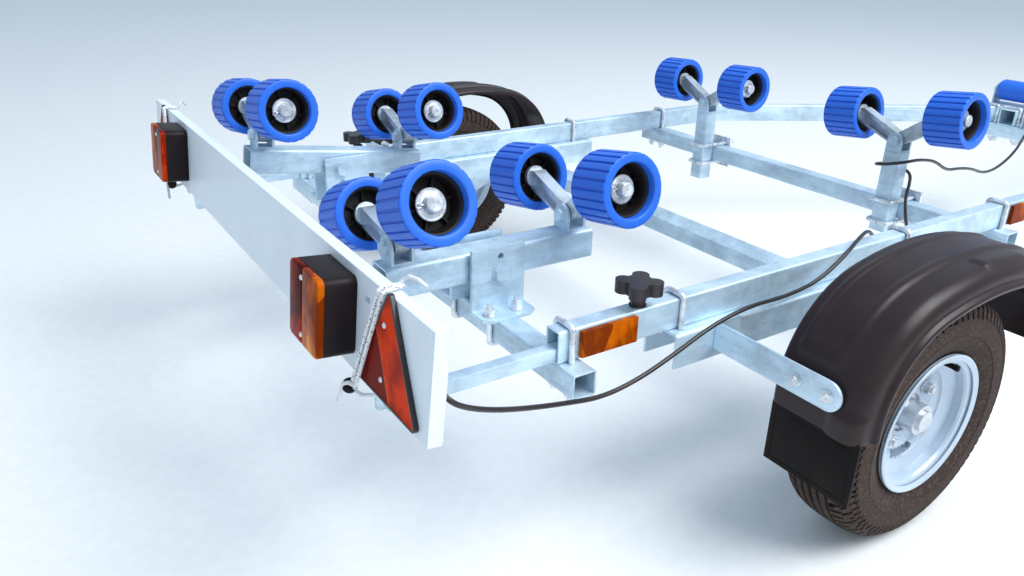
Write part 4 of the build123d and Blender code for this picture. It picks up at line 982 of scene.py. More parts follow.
@dataclass
class Studio:
    """Camera, floor and soft light."""

    place: Point = (-0.600, -1.3227, 0.8931)
    heading: float = 56.7
    tilt: float = -24.0
    roll: float = 1.2
    lens: float = 28.8
    sensor: float = 36.0
    clip: tuple[float, float] = (0.02, 300.0)
    floor_size: float = 160.0
    floor_tones: tuple[Colour, Colour] = ((0.80, 0.80, 0.79), (0.83, 0.83, 0.82))
    floor_roughness: float = 0.9
    sky: tuple[tuple[float, Colour], ...] = (
        (0.0, (0.55, 0.55, 0.56)), (0.12, (0.62, 0.69, 0.77)), (0.55, (0.66, 0.82, 1.0)))
    sky_strength: float = 0.80
    lamp_place: Point = (2.2, -3.2, 5.2)
    lamp_aim: Point = (0.8, -0.1, 0.3)
    lamp_power: float = 430.0
    lamp_size: float = 4.0
    lamp_colour: Colour = (0.97, 0.99, 1.0)

    def camera(self) -> None:
        """Put the camera where the photograph was taken from."""
        data = bpy.data.cameras.new("camera")
        data.lens, data.sensor_width = self.lens, self.sensor
        data.clip_start, data.clip_end = self.clip
        camera = bpy.data.objects.new("camera", data)
        bpy.context.scene.collection.objects.link(camera)
        heading, tilt, roll = (math.radians(a) for a in (self.heading, self.tilt, self.roll))
        level = math.cos(tilt)
        look = Vector((level * math.cos(heading), level * math.sin(heading), math.sin(tilt)))
        right = look.cross(Vector((0, 0, 1))).normalized()
        up = right.cross(look)
        side = math.cos(roll) * right + math.sin(roll) * up
        top = math.cos(roll) * up - math.sin(roll) * right
        turn = Matrix((side, top, -look)).transposed().to_4x4()
        camera.matrix_world = Matrix.Translation(from_rear(self.place)) @ turn
        bpy.context.scene.camera = camera

    def floor(self) -> None:
        """Pale floor that keeps the shadow."""
        Bench.clear()
        bpy.ops.mesh.primitive_plane_add(size=self.floor_size, location=(0, 0, 0))
        floor = bpy.context.active_object
        floor.name = "floor"
        made = bpy.data.materials.new("pale floor")
        made.use_nodes = True
        graph = Graph(made.node_tree)
        grain = graph.noise(40.0, 3.0).ramp(0.3, 0.7)
        colour = graph.blend(grain, *self.floor_tones)
        settings = {"Base Color": colour, "Roughness": self.floor_roughness}
        shader = graph.node("ShaderNodeBsdfPrincipled", {}, settings)
        graph.node("ShaderNodeOutputMaterial", {}, {"Surface": shader.out(0)})
        floor.data.materials.append(made)

    def light(self) -> None:
        """Overcast sky with one wide soft lamp."""
        world = bpy.data.worlds.new("sky")
        world.use_nodes = True
        bpy.context.scene.world = world
        graph = Graph(world.node_tree)
        direction = graph.node("ShaderNodeTexCoord").out("Generated")
        height = graph.node("ShaderNodeSeparateXYZ", {}, {0: direction}).out(2)
        sky = graph.node("ShaderNodeValToRGB", {"stops": self.sky}, {0: height}).out(0)
        soft = graph.node("ShaderNodeBackground", {}, {"Color": sky, "Strength": self.sky_strength})
        white = graph.node("ShaderNodeBackground", {}, {"Color": (1.0, 1.0, 1.0), "Strength": 1.0})
        seen = graph.node("ShaderNodeLightPath").out("Is Camera Ray")
        mix = graph.node("ShaderNodeMixShader", {}, {0: seen, 1: soft.out(0), 2: white.out(0)})
        graph.node("ShaderNodeOutputWorld", {}, {"Surface": mix.out(0)})
        data = bpy.data.lights.new("soft box", "AREA")
        data.energy, data.size, data.color = self.lamp_power, self.lamp_size, self.lamp_colour
        lamp = bpy.data.objects.new("soft box", data)
        bpy.context.scene.collection.objects.link(lamp)
        lamp.location = from_rear(self.lamp_place)
        aim = from_rear(self.lamp_aim) - lamp.location
        lamp.rotation_euler = aim.to_track_quat("-Z", "Y").to_euler()
        bpy.context.scene.view_settings.view_transform = "Standard"

    def build(self) -> None:
        """Camera, floor and light."""
        self.camera()
        self.floor()
        self.light()


@dataclass
class LightingCable:
    """Cable from the lighting board over the right rail to the drawbar."""

    diameter: float = 0.007
    route: tuple[Point, ...] = (
        (-0.242, -0.446, 0.446), (-0.222, -0.446, 0.446), (-0.212, -0.464, 0.446), (-0.216, -0.500, 0.446),
        (-0.226, -0.545, 0.444), (-0.236, -0.585, 0.438), (-0.240, -0.618, 0.428), (-0.233, -0.643, 0.412),
        (-0.206, -0.640, 0.393), (-0.156, -0.623, 0.365), (-0.093, -0.603, 0.337), (-0.022, -0.584, 0.311),
        (0.045, -0.575, 0.294), (0.115, -0.571, 0.300), (0.190, -0.566, 0.320), (0.262, -0.562, 0.344),
        (0.345, -0.559, 0.356), (0.440, -0.549, 0.345), (0.530, -0.543, 0.351), (0.598, -0.539, 0.383),
        (0.655, -0.522, 0.399), (0.712, -0.500, 0.397), (0.765, -0.480, 0.366), (0.835, -0.462, 0.336),
        (0.925, -0.440, 0.319), (1.005, -0.405, 0.312), (1.050, -0.368, 0.324), (1.078, -0.342, 0.355),
        (1.095, -0.335, 0.388), (1.119, -0.316, 0.401), (1.123, -0.286, 0.407), (1.105, -0.261, 0.411),
        (1.074, -0.257, 0.414), (1.050, -0.276, 0.420), (1.046, -0.306, 0.428), (1.065, -0.331, 0.435),
        (1.095, -0.336, 0.437), (1.130, -0.334, 0.433), (1.185, -0.330, 0.422), (1.265, -0.316, 0.386),
        (1.345, -0.303, 0.377), (1.430, -0.288, 0.361), (1.520, -0.270, 0.333), (1.605, -0.253, 0.323),
        (1.690, -0.238, 0.331), (1.770, -0.223, 0.353), (1.840, -0.201, 0.382), (1.890, -0.195, 0.402),
        (1.945, -0.192, 0.410), (2.010, -0.186, 0.404), (2.080, -0.166, 0.384), (2.150, -0.133, 0.368),
        (2.205, -0.103, 0.360), (2.250, -0.084, 0.359), (2.290, -0.072, 0.360), (2.323, -0.052, 0.360),
        (2.323, -0.031, 0.360))

    def spline(self) -> bpy.types.Object:
        """Curve of one smooth spline with the route's points as its control points.

        Returns:
            The curve.
        """
        data = bpy.data.curves.new("lighting_cable_line", "CURVE")
        data.dimensions = "3D"
        spline = data.splines.new("NURBS")
        spline.points.add(len(self.route) - 1)
        for point, (x, y, z) in zip(spline.points, self.route):
            point.co = (x + REAR, y, z, 1.0)
        spline.order_u = 3
        spline.use_endpoint_u = True
        spline.resolution_u = 6
        line = bpy.data.objects.new("lighting_cable_line", data)
        bpy.context.scene.collection.objects.link(line)
        return line

    def build(self) -> None:
        """Cable as a mesh tube along its spline."""
        line = self.spline()
        bpy.context.view_layer.update()
        plain = bpy.data.meshes.new_from_object(line)
        path = [v.co.copy() for v in plain.vertices]
        line.data.bevel_depth = self.diameter / 2
        line.data.bevel_resolution = 3
        line.data.use_fill_caps = True
        bpy.context.view_layer.update()
        tube = bpy.data.meshes.new_from_object(line.evaluated_get(bpy.context.evaluated_depsgraph_get()))
        cable = bpy.data.objects.new("cable_sheath", tube)
        bpy.context.scene.collection.objects.link(cable)
        Bench.drop(line)
        Bench.smooth(cable, 60.0)
        length = sum((b - a).length for a, b in zip(path, path[1:]))
        paint(cable, FINISHES["black_cable"])
        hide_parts("lighting_cable")
        tuple(path[0])
        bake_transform(cable)
        LOG.info("cable_sheath is %.2f m long", length)


def sector(point: Vector, count: int) -> int:
    """Which of a number of equal sectors about the Y axis a point is in."""
    return int((math.atan2(point.z, point.x) % math.tau) / (math.tau / count))


@dataclass
class Tyre:
    """Road tyre with a ribbed crown, shoulder lugs and moulded rings on its walls."""

    radius: float = 0.208
    pitches: int = 78
    lug_depth: float = 0.006
    lug_from: float = 0.033
    lug_to: float = 0.0606
    lug_reach: float = 0.0325

    def section(self) -> list[tuple[float, float]]:
        """Half section from the crown to the bead, as radius and distance from the middle.

        Returns:
            Points of the half section.
        """
        r = self.radius
        return [(r - 0.0055, 0.0), (r - 0.0055, 0.003), (r, 0.0035), (r - 0.0002, 0.0115),
                (r - 0.0055, 0.012), (r - 0.0055, 0.016), (r - 0.0004, 0.0165), (r - 0.001, 0.0255),
                (r - 0.0062, 0.026),
                (r - 0.0065, 0.030), (r - 0.0018, 0.0305), (r - 0.004, 0.040), (r - 0.0078, 0.0475),
                (r - 0.0145, 0.0535), (r - 0.020, 0.0565), (r - 0.0215, 0.0568), (r - 0.028, 0.0590),
                (r - 0.029, 0.0602), (r - 0.032, 0.0606), (r - 0.033, 0.0598), (r - 0.045, 0.0610),
                (r - 0.056, 0.0606), (r - 0.057, 0.0614), (r - 0.0595, 0.0612), (r - 0.060, 0.0600),
                (r - 0.074, 0.0565), (r - 0.0835, 0.0515), (r - 0.085, 0.0522), (r - 0.0875, 0.0508),
                (r - 0.090, 0.0478), (r - 0.0985, 0.0462)]

    def build(self) -> None:
        """One tyre, spun and lugged, then copied for both sides."""
        half = self.section()
        ring = [(radius, -y) for radius, y in reversed(half[1:])] + half
        inner = [(0.1035, 0.043), (0.112, 0.040), (0.135, 0.048), (0.170, 0.051), (0.190, 0.044),
                 (0.197, 0.025)]
        ring += inner + [(radius, -y) for radius, y in reversed(inner)]
        faces = self.pitches * 3
        tyre = Bench.turned("tyre", ring, Axis.Y, faces)

        def lug_gap(face: bpy.types.MeshPolygon) -> bool:
            """Whether a face lies between two shoulder lugs.

            Args:
                face: Face to test.

            Returns:
                Whether it is to be sunk.
            """
            c = face.center
            phase = 0 if c.y > 0 else 1
            outside = math.hypot(c.x, c.z) > self.radius - self.lug_reach
            return self.lug_from < abs(c.y) < self.lug_to and outside and sector(c, faces) % 3 == phase

        Bench.push(tyre, lug_gap, -self.lug_depth)
        Bench.smooth(tyre, 28.0)
        for side in SIDES:
            centre = Joint("wheel_spin_" + side).centre()
            piece = Bench.copy(tyre, "road_tyre_" + side, Matrix.Translation(centre))
            dress(piece, "tyre_rubber", "wheel_" + side)
            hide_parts("tyre_" + side)
        Bench.drop(tyre)


@dataclass
class RimTrim:
    """Rolled bright lip round each rim and its rubber valve."""

    lip: float = 0.1160
    outside: float = 0.0534
    valve_x: float = 0.047
    valve_z: float = 0.081404
    valve_radius: float = 0.0042
    valve_reach: tuple[float, float] = (0.020, 0.044)
    cap_radius: float = 0.0048
    cap_reach: tuple[float, float] = (0.0445, 0.052)

    def build(self) -> None:
        """A lip and a valve on the outer side of each wheel."""
        r, y = self.lip, self.outside
        ring = [(r - 0.0090, y), (r - 0.0015, y + 0.0002), (r + 0.0008, y + 0.0010),
                (r + 0.0014, y + 0.0026), (r + 0.0004, y + 0.0040), (r - 0.0016, y + 0.0042),
                (r - 0.0034, y + 0.0030), (r - 0.0090, y + 0.0016)]
        lip = Bench.turned("lip", ring, Axis.Y, 96)
        Bench.smooth(lip, 50.0)
        start, end = self.valve_reach
        valve = Bench.rod("valve", (0, start, 0), (0, end, 0), self.valve_radius, 20)
        start, end = self.cap_reach
        cap = Bench.rod("cap", (0, start, 0), (0, end, 0), self.cap_radius, 12)
        valve = Bench.join("valve", [valve, cap])
        Bench.bevel(valve, 0.0008, 2, 50.0)
        Bench.smooth(valve, 40.0)
        at = Matrix.Translation((self.valve_x, 0, self.valve_z))
        for side, mirror in zip(SIDES, MIRRORS):
            put = Matrix.Translation(Joint("wheel_spin_" + side).centre()) @ mirror
            dress(Bench.copy(lip, "rim_lip_" + side, put), "silver_paint", "wheel_" + side)
            dress(Bench.copy(valve, "tyre_valve_" + side, put @ at), "black_rubber", "wheel_" + side)
        Bench.drop(lip, valve)


@dataclass
class Roller:
    """Grooved blue roller with a dark recessed core of spokes."""

    radius: float = 0.057
    width: float = 0.080
    offset: float = 0.120
    bore: float = 0.042
    ribs: int = 24
    groove: float = 0.0030
    band: float = 0.0046
    stub: float = 0.0125
    spokes: int = 6
    pin_y: float = 0.0185
    pin_radius: float = 0.0015
    leg_radius: float = 0.0011
    eye: float = 0.0034
    spoke_turn: float = 0.3
    rest_turn: float = 0.35
    pair_turn: float = 0.9
    side_turn: float = 0.4
    pin_turn: float = 0.12

    def tread(self) -> bpy.types.Object:
        """Tread about the Y axis, centred on the origin.

        Returns:
            The new object.
        """
        half, rim, bore = self.width / 2, self.radius, self.bore
        side = [(bore, 0.004), (bore + 0.0001, half - 0.0022), (bore + 0.0008, half - 0.0007),
                (bore + 0.0024, half), (rim - 0.0030, half), (rim - 0.0010, half - 0.0008),
                (rim, half - 0.0028), (rim, half - self.band)]
        ring = side + [(radius, -y) for radius, y in reversed(side)]
        faces = self.ribs * 4
        tread = Bench.turned("tread", ring, Axis.Y, faces)

        def groove(face: bpy.types.MeshPolygon) -> bool:
            """Whether a face of the tread belongs to a groove.

            Args:
                face: Face to test.

            Returns:
                Whether it is to be sunk.
            """
            c = face.center
            outside = math.hypot(c.x, c.z) > rim - 0.0018 and abs(c.y) < half - 0.001
            return outside and sector(c, faces) % 4 == 0

        Bench.push(tread, groove, -self.groove)
        Bench.bevel(tread, 0.0008, 2, 40.0)
        Bench.smooth(tread, 40.0)
        return tread

    def core(self) -> bpy.types.Object:
        """Dark core: liner, hub and spokes, deep in the tread, with its outer side towards +Y.

        Returns:
            The new object.
        """
        bore, stub = self.bore, self.stub
        ring = [(stub, 0.0092), (0.0165, 0.0092), (0.0178, 0.0078), (0.0185, 0.001), (bore - 0.007, 0.001),
                (bore - 0.0045, 0.020), (bore - 0.0032, 0.0262), (bore - 0.0004, 0.0266),
                (bore - 0.0004, -0.0330), (bore - 0.0032, -0.0326), (bore - 0.0045, -0.027),
                (bore - 0.007, -0.007), (0.0185, -0.007), (0.0178, -0.0138), (0.0165, -0.0152),
                (stub, -0.0152)]
        core = Bench.turned("core", ring, Axis.Y, 40)
        spokes = []
        for k in range(self.spokes):
            spoke = Bench.block("spoke", (0.0172, -0.0142, -0.0017), (bore - 0.0042, 0.0084, 0.0017))
            Bench.push(spoke, lambda f: f.normal.x > 0.9, 0.0012, 0.0004)
            spoke.data.transform(Matrix.Rotation(2 * math.pi * k / self.spokes + self.spoke_turn, 4, "Y"))
            spokes.append(spoke)
        core = Bench.join("core", [core, *spokes])
        Bench.bevel(core, 0.0006, 1, 50.0)
        Bench.smooth(core, 40.0)
        return core

    def split_pin(self) -> bpy.types.Object:
        """Split pin through a stub axle, its eye at one side and its bent legs at the other.

        Returns:
            The new object.
        """
        y = self.pin_y
        shank = Bench.rod("pin", (-0.0175, y, 0), (0.0140, y, 0), self.pin_radius, 12)
        Bench.clear()
        bpy.ops.mesh.primitive_torus_add(location=(-0.0205, y, 0), rotation=(math.pi / 2, 0, 0),
                                         major_radius=self.eye, minor_radius=self.leg_radius,
                                         major_segments=24, minor_segments=8)
        parts = [shank, Bench.settle("eye")]
        for side, lift in ((1, 0.0105), (-1, 0.0085)):
            knee = (0.0150, y + 0.0004, side * 0.0020)
            parts.append(Bench.rod("leg", (0.0125, y, side * 0.0004), knee, self.leg_radius, 10))
            parts.append(Bench.rod("leg", knee, (0.0142, y + 0.0012, side * lift), self.leg_radius, 10))
            parts.append(Bench.ball("knee", knee, 0.0012))
        pin = Bench.join("pin", parts)
        Bench.smooth(pin, 60.0)
        return pin

    def washer(self) -> bpy.types.Object:
        """Stamped washer with a rolled edge that keeps the roller on its stub.

        Returns:
            The new object.
        """
        ring = [(self.stub, 0.0130), (0.0205, 0.0130), (0.0218, 0.0133), (0.0222, 0.0140), (0.0216, 0.0147),
                (0.0200, 0.0145), (0.0150, 0.0144), (0.0136, 0.0150), (self.stub, 0.0150)]
        washer = Bench.turned("washer", ring, Axis.Y, 48)
        Bench.smooth(washer, 30.0)
        return washer

    def stub_cap(self) -> bpy.types.Object:
        """Chamfered and centre drilled end of a stub axle.

        Returns:
            The new object.
        """
        ring = [(0.0, 0.0274), (0.0012, 0.0260), (0.0024, 0.0274), (0.0100, 0.0276), (0.0121, 0.0256),
                (0.0121, 0.0150)]
        cap = Bench.turned("cap", ring, Axis.Y, 40, closed=False)
        Bench.smooth(cap, 30.0)
        return cap

    def build(self) -> None:
        """Two rollers for each of the six pairs, on the axes of the record's joints."""
        tread, core = self.tread(), self.core()
        fittings = Bench.join("fittings", [self.washer(), self.stub_cap(), self.split_pin()])
        pairs = [side + "_" + place for side in SIDES for place in ("rear", "front", "post")]
        for number, pair in enumerate(pairs):
            spin, tilt = Joint("roller_spin_" + pair), Joint("crank_tilt_" + pair)
            along, forward = spin.axis(), tilt.axis()
            turn = Matrix((forward, along, forward.cross(along))).transposed().to_4x4()
            middle = Matrix.Translation(spin.centre()) @ turn
            aside = Matrix.Translation((0, self.offset, 0))
            treads, cores, ends = [], [], []
            for sign in (-1, 1):
                put = middle @ Matrix.Diagonal((1, sign, 1, 1)) @ aside
                angle = self.rest_turn + self.pair_turn * number + self.side_turn * sign
                spun = put @ Matrix.Rotation(angle, 4, "Y")
                pinned = put @ Matrix.Rotation(self.pin_turn * number - self.spoke_turn, 4, "Y")
                treads.append(Bench.copy(tread, "tread", spun))
                cores.append(Bench.copy(core, "core", spun))
                ends.append(Bench.copy(fittings, "ends", pinned))
            whole = dress(Bench.join("tread_pair_" + pair, treads), "blue_roller", "rollers_" + pair)
            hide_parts("rollers_" + pair)
            dress(Bench.join("core_pair_" + pair, cores), "black_rubber", "rollers_" + pair, CORE)
            dress(Bench.join("stub_fittings_" + pair, ends), "zinc_plate", "crank_" + pair)
        Bench.drop(tread, core, fittings)


def smooth_step(value: float, low: float, high: float) -> float:
    """Zero at low, one at high and smooth in between, also where low is the larger."""
    part = min(1.0, max(0.0, (value - low) / (high - low)))
    return part * part * (3.0 - 2.0 * part)


def plateau(value: float, marks: Marks) -> float:
    """One between the middle two of four marks, zero outside the outer two and smooth in between."""
    low, low_top, high_top, high = marks
    return smooth_step(value, low, low_top) * smooth_step(value, high, high_top)


def towards(point: Sequence[float], direction: Sequence[float], turn: float = 0.0) -> Matrix:
    """Matrix that takes a piece made along +Z at the origin to a point and a direction."""
    aim = Vector((0, 0, 1)).rotation_difference(Vector(direction)).to_matrix().to_4x4()
    return Matrix.Translation(Vector(point)) @ aim @ Matrix.Rotation(turn, 4, "Z")


@dataclass
class Fastener:
    """Bolt end with washer, nut and thread, or the head of a pan screw, made along +Z."""

    thread: float = 0.004
    across: float = 0.0130
    washer: float = 0.0092
    washer_thick: float = 0.0016
    nut_height: float = 0.0062
    proud: float = 0.0050
    pitch: float = 0.0011
    groove: float = 0.0005

    def nut(self) -> bpy.types.Object:
        """Washer, chamfered nut and threaded end.

        Returns:
            The new object.
        """
        top = self.washer_thick + self.nut_height
        ring = [(self.thread, 0.0), (self.washer - 0.0004, 0.0), (self.washer, 0.0004),
                (self.washer, self.washer_thick - 0.0004), (self.washer - 0.0004, self.washer_thick),
                (self.thread, self.washer_thick)]
        washer = Bench.turned("washer", ring, Axis.Z, 28)
        nut = Bench.rod("nut", (0, 0, self.washer_thick), (0, 0, top), self.across / math.sqrt(3), 6)
        Bench.push(nut, lambda f: abs(f.normal.z) > 0.9, 0.0003, self.across * 0.08)
        Bench.bevel(nut, 0.0005, 2, 30.0)
        turns = int((self.proud - 0.0008) / self.pitch)
        line = [(0.0, top + self.proud), (self.thread - 0.0009, top + self.proud)]
        for k in range(turns, -1, -1):
            line += [(self.thread, top + self.pitch * (k + 0.5)),
                     (self.thread - self.groove, top + self.pitch * k)]
        bolt = Bench.turned("thread", line, Axis.Z, 20, closed=False)
        whole = Bench.join("nut_set", [washer, nut, bolt])
        Bench.smooth(whole, 30.0)
        return whole

    def pan_head(self, radius: float = 0.0036) -> bpy.types.Object:
        """Domed screw head with a cross recess.

        Args:
            radius: Radius of the head.

        Returns:
            The new object.
        """
        line = [(radius, 0.0), (radius * 0.98, radius * 0.25), (radius * 0.75, radius * 0.5),
                (radius * 0.4, radius * 0.62), (0.0, radius * 0.65)]
        head = Bench.turned("screw", line, Axis.Z, 24, closed=False)
        for turn in (0.0, math.pi / 2):
            slot = Bench.block("slot", (-radius * 0.5, -radius * 0.1, radius * 0.52),
                               (radius * 0.5, radius * 0.1, radius * 0.7))
            slot.data.transform(Matrix.Rotation(turn + 0.4, 4, "Z"))
            Bench.bevel(slot, radius * 0.05, 1, 30.0)
            head = Bench.join("screw", [head, slot])
        Bench.smooth(head, 40.0)
        return head


@dataclass
class Mudguard:
    """Moulded mudguards with a raised crown band, a soft outer edge, a flared lip and a flap."""

    middle: float = 0.560
    side: float = 0.741
    half: float = 0.270
    top: float = 0.468
    low: float = 0.260
    crown: float = 0.560
    corner: float = 0.175
    wall: float = 0.0038
    rows: int = 150
    band: float = 0.0042
    band_across: Marks = (-0.0575, -0.0500, 0.0135, 0.0240)
    band_foot: tuple[float, float] = (0.343, 0.358)
    hollow: float = 0.0024
    hollow_across: Marks = (-0.0440, -0.0410, 0.0030, 0.0080)
    hollow_foot: tuple[float, float] = (0.37, 0.385)
    patch: float = 0.0032
    patch_along: Marks = (-0.024, -0.018, 0.080, 0.086)
    patch_across: Marks = (0.0285, 0.0310, 0.0570, 0.0600)
    smile: float = 0.0060
    smile_foot: tuple[float, float] = (0.305, 0.294)
    smile_across: tuple[float, float] = (0.012, 0.034)
    stay_z: float = 0.316
    stay_y: float = 0.780
    stay_root: float = 0.5493
    stay_height: float = 0.046
    stay_thick: float = 0.005
    leg: float = 0.052
    bolts: tuple[float, ...] = (0.7060, 0.759)
    nut_gap: float = 0.0053
    flap_low: float = 0.160
    flap_half: float = 0.0738
    flap_thick: float = 0.0050
    flap_border: float = 0.0085
    tongue: tuple[float, float] = (-0.058, 0.052)
    tongue_rise: float = 0.030

    def path(self, part: float) -> tuple[float, float, float, float]:
        """Side view of the outside.

        Args:
            part: Fraction of the length, from the rear end.

        Returns:
            Distance from the middle, height, and the outward direction's two parts.
        """
        end = -1 if part < 0.5 else 1
        inner = self.half - self.corner
        rise = math.sqrt((self.crown - self.corner) ** 2 - inner ** 2)
        bend_z = self.top - self.crown + rise
        bend = math.acos(inner / (self.crown - self.corner))
        upright, curve = bend_z - self.low, self.corner * bend
        run = min(part, 1.0 - part) * 2 * (upright + curve + self.crown * (math.pi / 2 - bend))
        if run < upright:
            return end * self.half, self.low + run, float(end), 0.0
        if run < upright + curve:
            turn = (run - upright) / self.corner
            x, z = math.cos(turn), math.sin(turn)
            return end * (inner + self.corner * x), bend_z + self.corner * z, end * x, z
        turn = bend + (run - upright - curve) / self.crown
        x, z = math.cos(turn), math.sin(turn)
        return end * self.crown * x, self.top - self.crown + self.crown * z, end * x, z

    def section(self) -> list[tuple[float, float]]:
        """Cross section from the inner skirt to the flared lip, as distance across and lift.

        Returns:
            Points of the cross section.
        """
        line = [(-0.0750, -0.0130), (-0.0750, -0.0115)]
        line += [(-0.065 - 0.010 * math.cos(a), -0.010 + 0.010 * math.sin(a))
                 for a in (math.radians(15 * k) for k in range(7))]
        line += [(-0.0620 + 0.0032 * k, 0.0) for k in range(34)]
        line += [(0.047 + 0.026 * math.sin(a), -0.026 + 0.026 * math.cos(a))
                 for a in (math.radians(9 * k) for k in range(1, 10))]
        line += [(0.0731, -0.0240), (0.0735, -0.0258), (0.0748, -0.0274), (0.0768, -0.0286),
                 (0.0790, -0.0298), (0.0806, -0.0316), (0.0814, -0.0338), (0.0812, -0.0362),
                 (0.0800, -0.0382), (0.0780, -0.0394), (0.0757, -0.0396)]
        return line

    def lift(self, x: float, y: float, z: float) -> float:
        """Height of the mouldings on the shell at a place on it.

        Args:
            x: Distance ahead of the guard's middle.
            y: Distance outwards from it.
            z: Height above the ground.

        Returns:
            Height in metres, outwards.
        """
        raised = self.band * plateau(y, self.band_across) * smooth_step(z, *self.band_foot)
        hollow = self.hollow * plateau(y, self.hollow_across) * smooth_step(z, *self.hollow_foot)
        patch = self.patch * plateau(x, self.patch_along) * plateau(y, self.patch_across)
        smile = self.smile * smooth_step(z, *self.smile_foot) * smooth_step(y, *self.smile_across)
        return raised - hollow + patch + (smile if x < 0 else 0.0)

    def shell(self) -> bpy.types.Object:
        """Left mudguard as one thin shell.

        Returns:
            The new object.
        """
        line = self.section()

        def place(part: float, across: float) -> Point:
            """Point of the outside for two fractions.

            Args:
                part: Fraction of the length.
                across: Fraction of the width.

            Returns:
                The point.
            """
            y, lift = line[round(across * (len(line) - 1))]
            x, z, out_x, out_z = self.path(part)
            lift += self.lift(x, y, z) if lift > -0.02 else 0.0
            return (REAR + self.middle + x + out_x * lift, self.side + y, z + out_z * lift)

        shell = Bench.sheet("mudguard", self.rows, len(line) - 1, place)
        face = shell.data.polygons[len(shell.data.polygons) // 2]
        if face.normal.z < 0:
            shell.data.flip_normals()
        Bench.thicken(shell, self.wall)
        Bench.bevel(shell, 0.0012, 3, 60.0)
        Bench.smooth(shell, 50.0)
        return shell

    def flap(self) -> bpy.types.Object:
        """Left rubber flap with a moulded border.

        Returns:
            The new object.
        """
        x = REAR + self.middle - self.half + self.wall + 0.0005
        front = x + self.flap_thick
        flap = Bench.block("flap", (x, self.side - self.flap_half, self.flap_low),
                           (front, self.side + self.flap_half, self.low + 0.0005))
        Bench.push(flap, lambda f: f.normal.x < -0.9, -0.0006, self.flap_border)
        Bench.push(flap, lambda f: f.normal.x < -0.9 and f.area > 0.01, 0.0005, 0.0016)
        Bench.bevel(flap, 0.0012, 2, 60.0)
        inner, outer = self.tongue
        top = Bench.block("flap_top", (x, self.side + inner, self.low - 0.001),
                          (front, self.side + outer, self.low + self.tongue_rise))
        Bench.bevel(top, 0.0012, 2, 60.0)
        flap = Bench.join("flap", [flap, top])
        Bench.smooth(flap, 40.0)
        return flap

    def stay(self, end: int) -> bpy.types.Object:
        """Left flat bar at one end, with its leg along the channel.

        Args:
            end: 1 for the front bar and -1 for the rear one.

        Returns:
            The new object.
        """
        near = REAR + self.middle + end * (self.half + 0.0003)
        far = near + end * self.stay_thick
        low, high = self.stay_z - self.stay_height / 2, self.stay_z + self.stay_height / 2
        bar = Bench.block("stay", (min(near, far), self.stay_root, low), (max(near, far), self.stay_y, high))
        radius = self.stay_height / 2 - 0.0004
        Bench.round_along(bar, Axis.X, radius, 12, lambda v: v.y > self.stay_y - 0.001)
        back = far - end * self.leg
        leg = Bench.block("leg", (min(near, back), self.stay_root, low),
                          (max(near, back), self.stay_root + self.stay_thick, high))
        whole = Bench.join("stay", [bar, leg])
        Bench.bevel(whole, 0.0010, 2, 50.0)
        Bench.smooth(whole, 40.0)
        return whole

    def build(self) -> None:
        """Both guards and flaps, their stays and the bolts of the stays."""
        mount("mudguard_pair", [self.shell()], "black_plastic", "chassis", "mudguards", MUDGUARD)
        mount("mud_flap_pair", [self.flap()], "black_rubber", "chassis", "mud_flaps")
        stays = [self.stay(end) for end in (-1, 1)]
        mount("flat_stays", stays, "galvanised", "chassis", "mudguard_stays")
        nut = Fastener().nut()
        nuts = []
        for sign in SIDES.values():
            for end in (-1, 1):
                x = REAR + self.middle + end * (self.half + self.nut_gap)
                for y in self.bolts:
                    put = towards((x, sign * y, self.stay_z), (end, 0, 0), 5 * y)
                    nuts.append(Bench.copy(nut, "nut", put))
        dress(Bench.join("stay_bolts", nuts), "zinc_plate", "chassis")
        Bench.drop(nut)


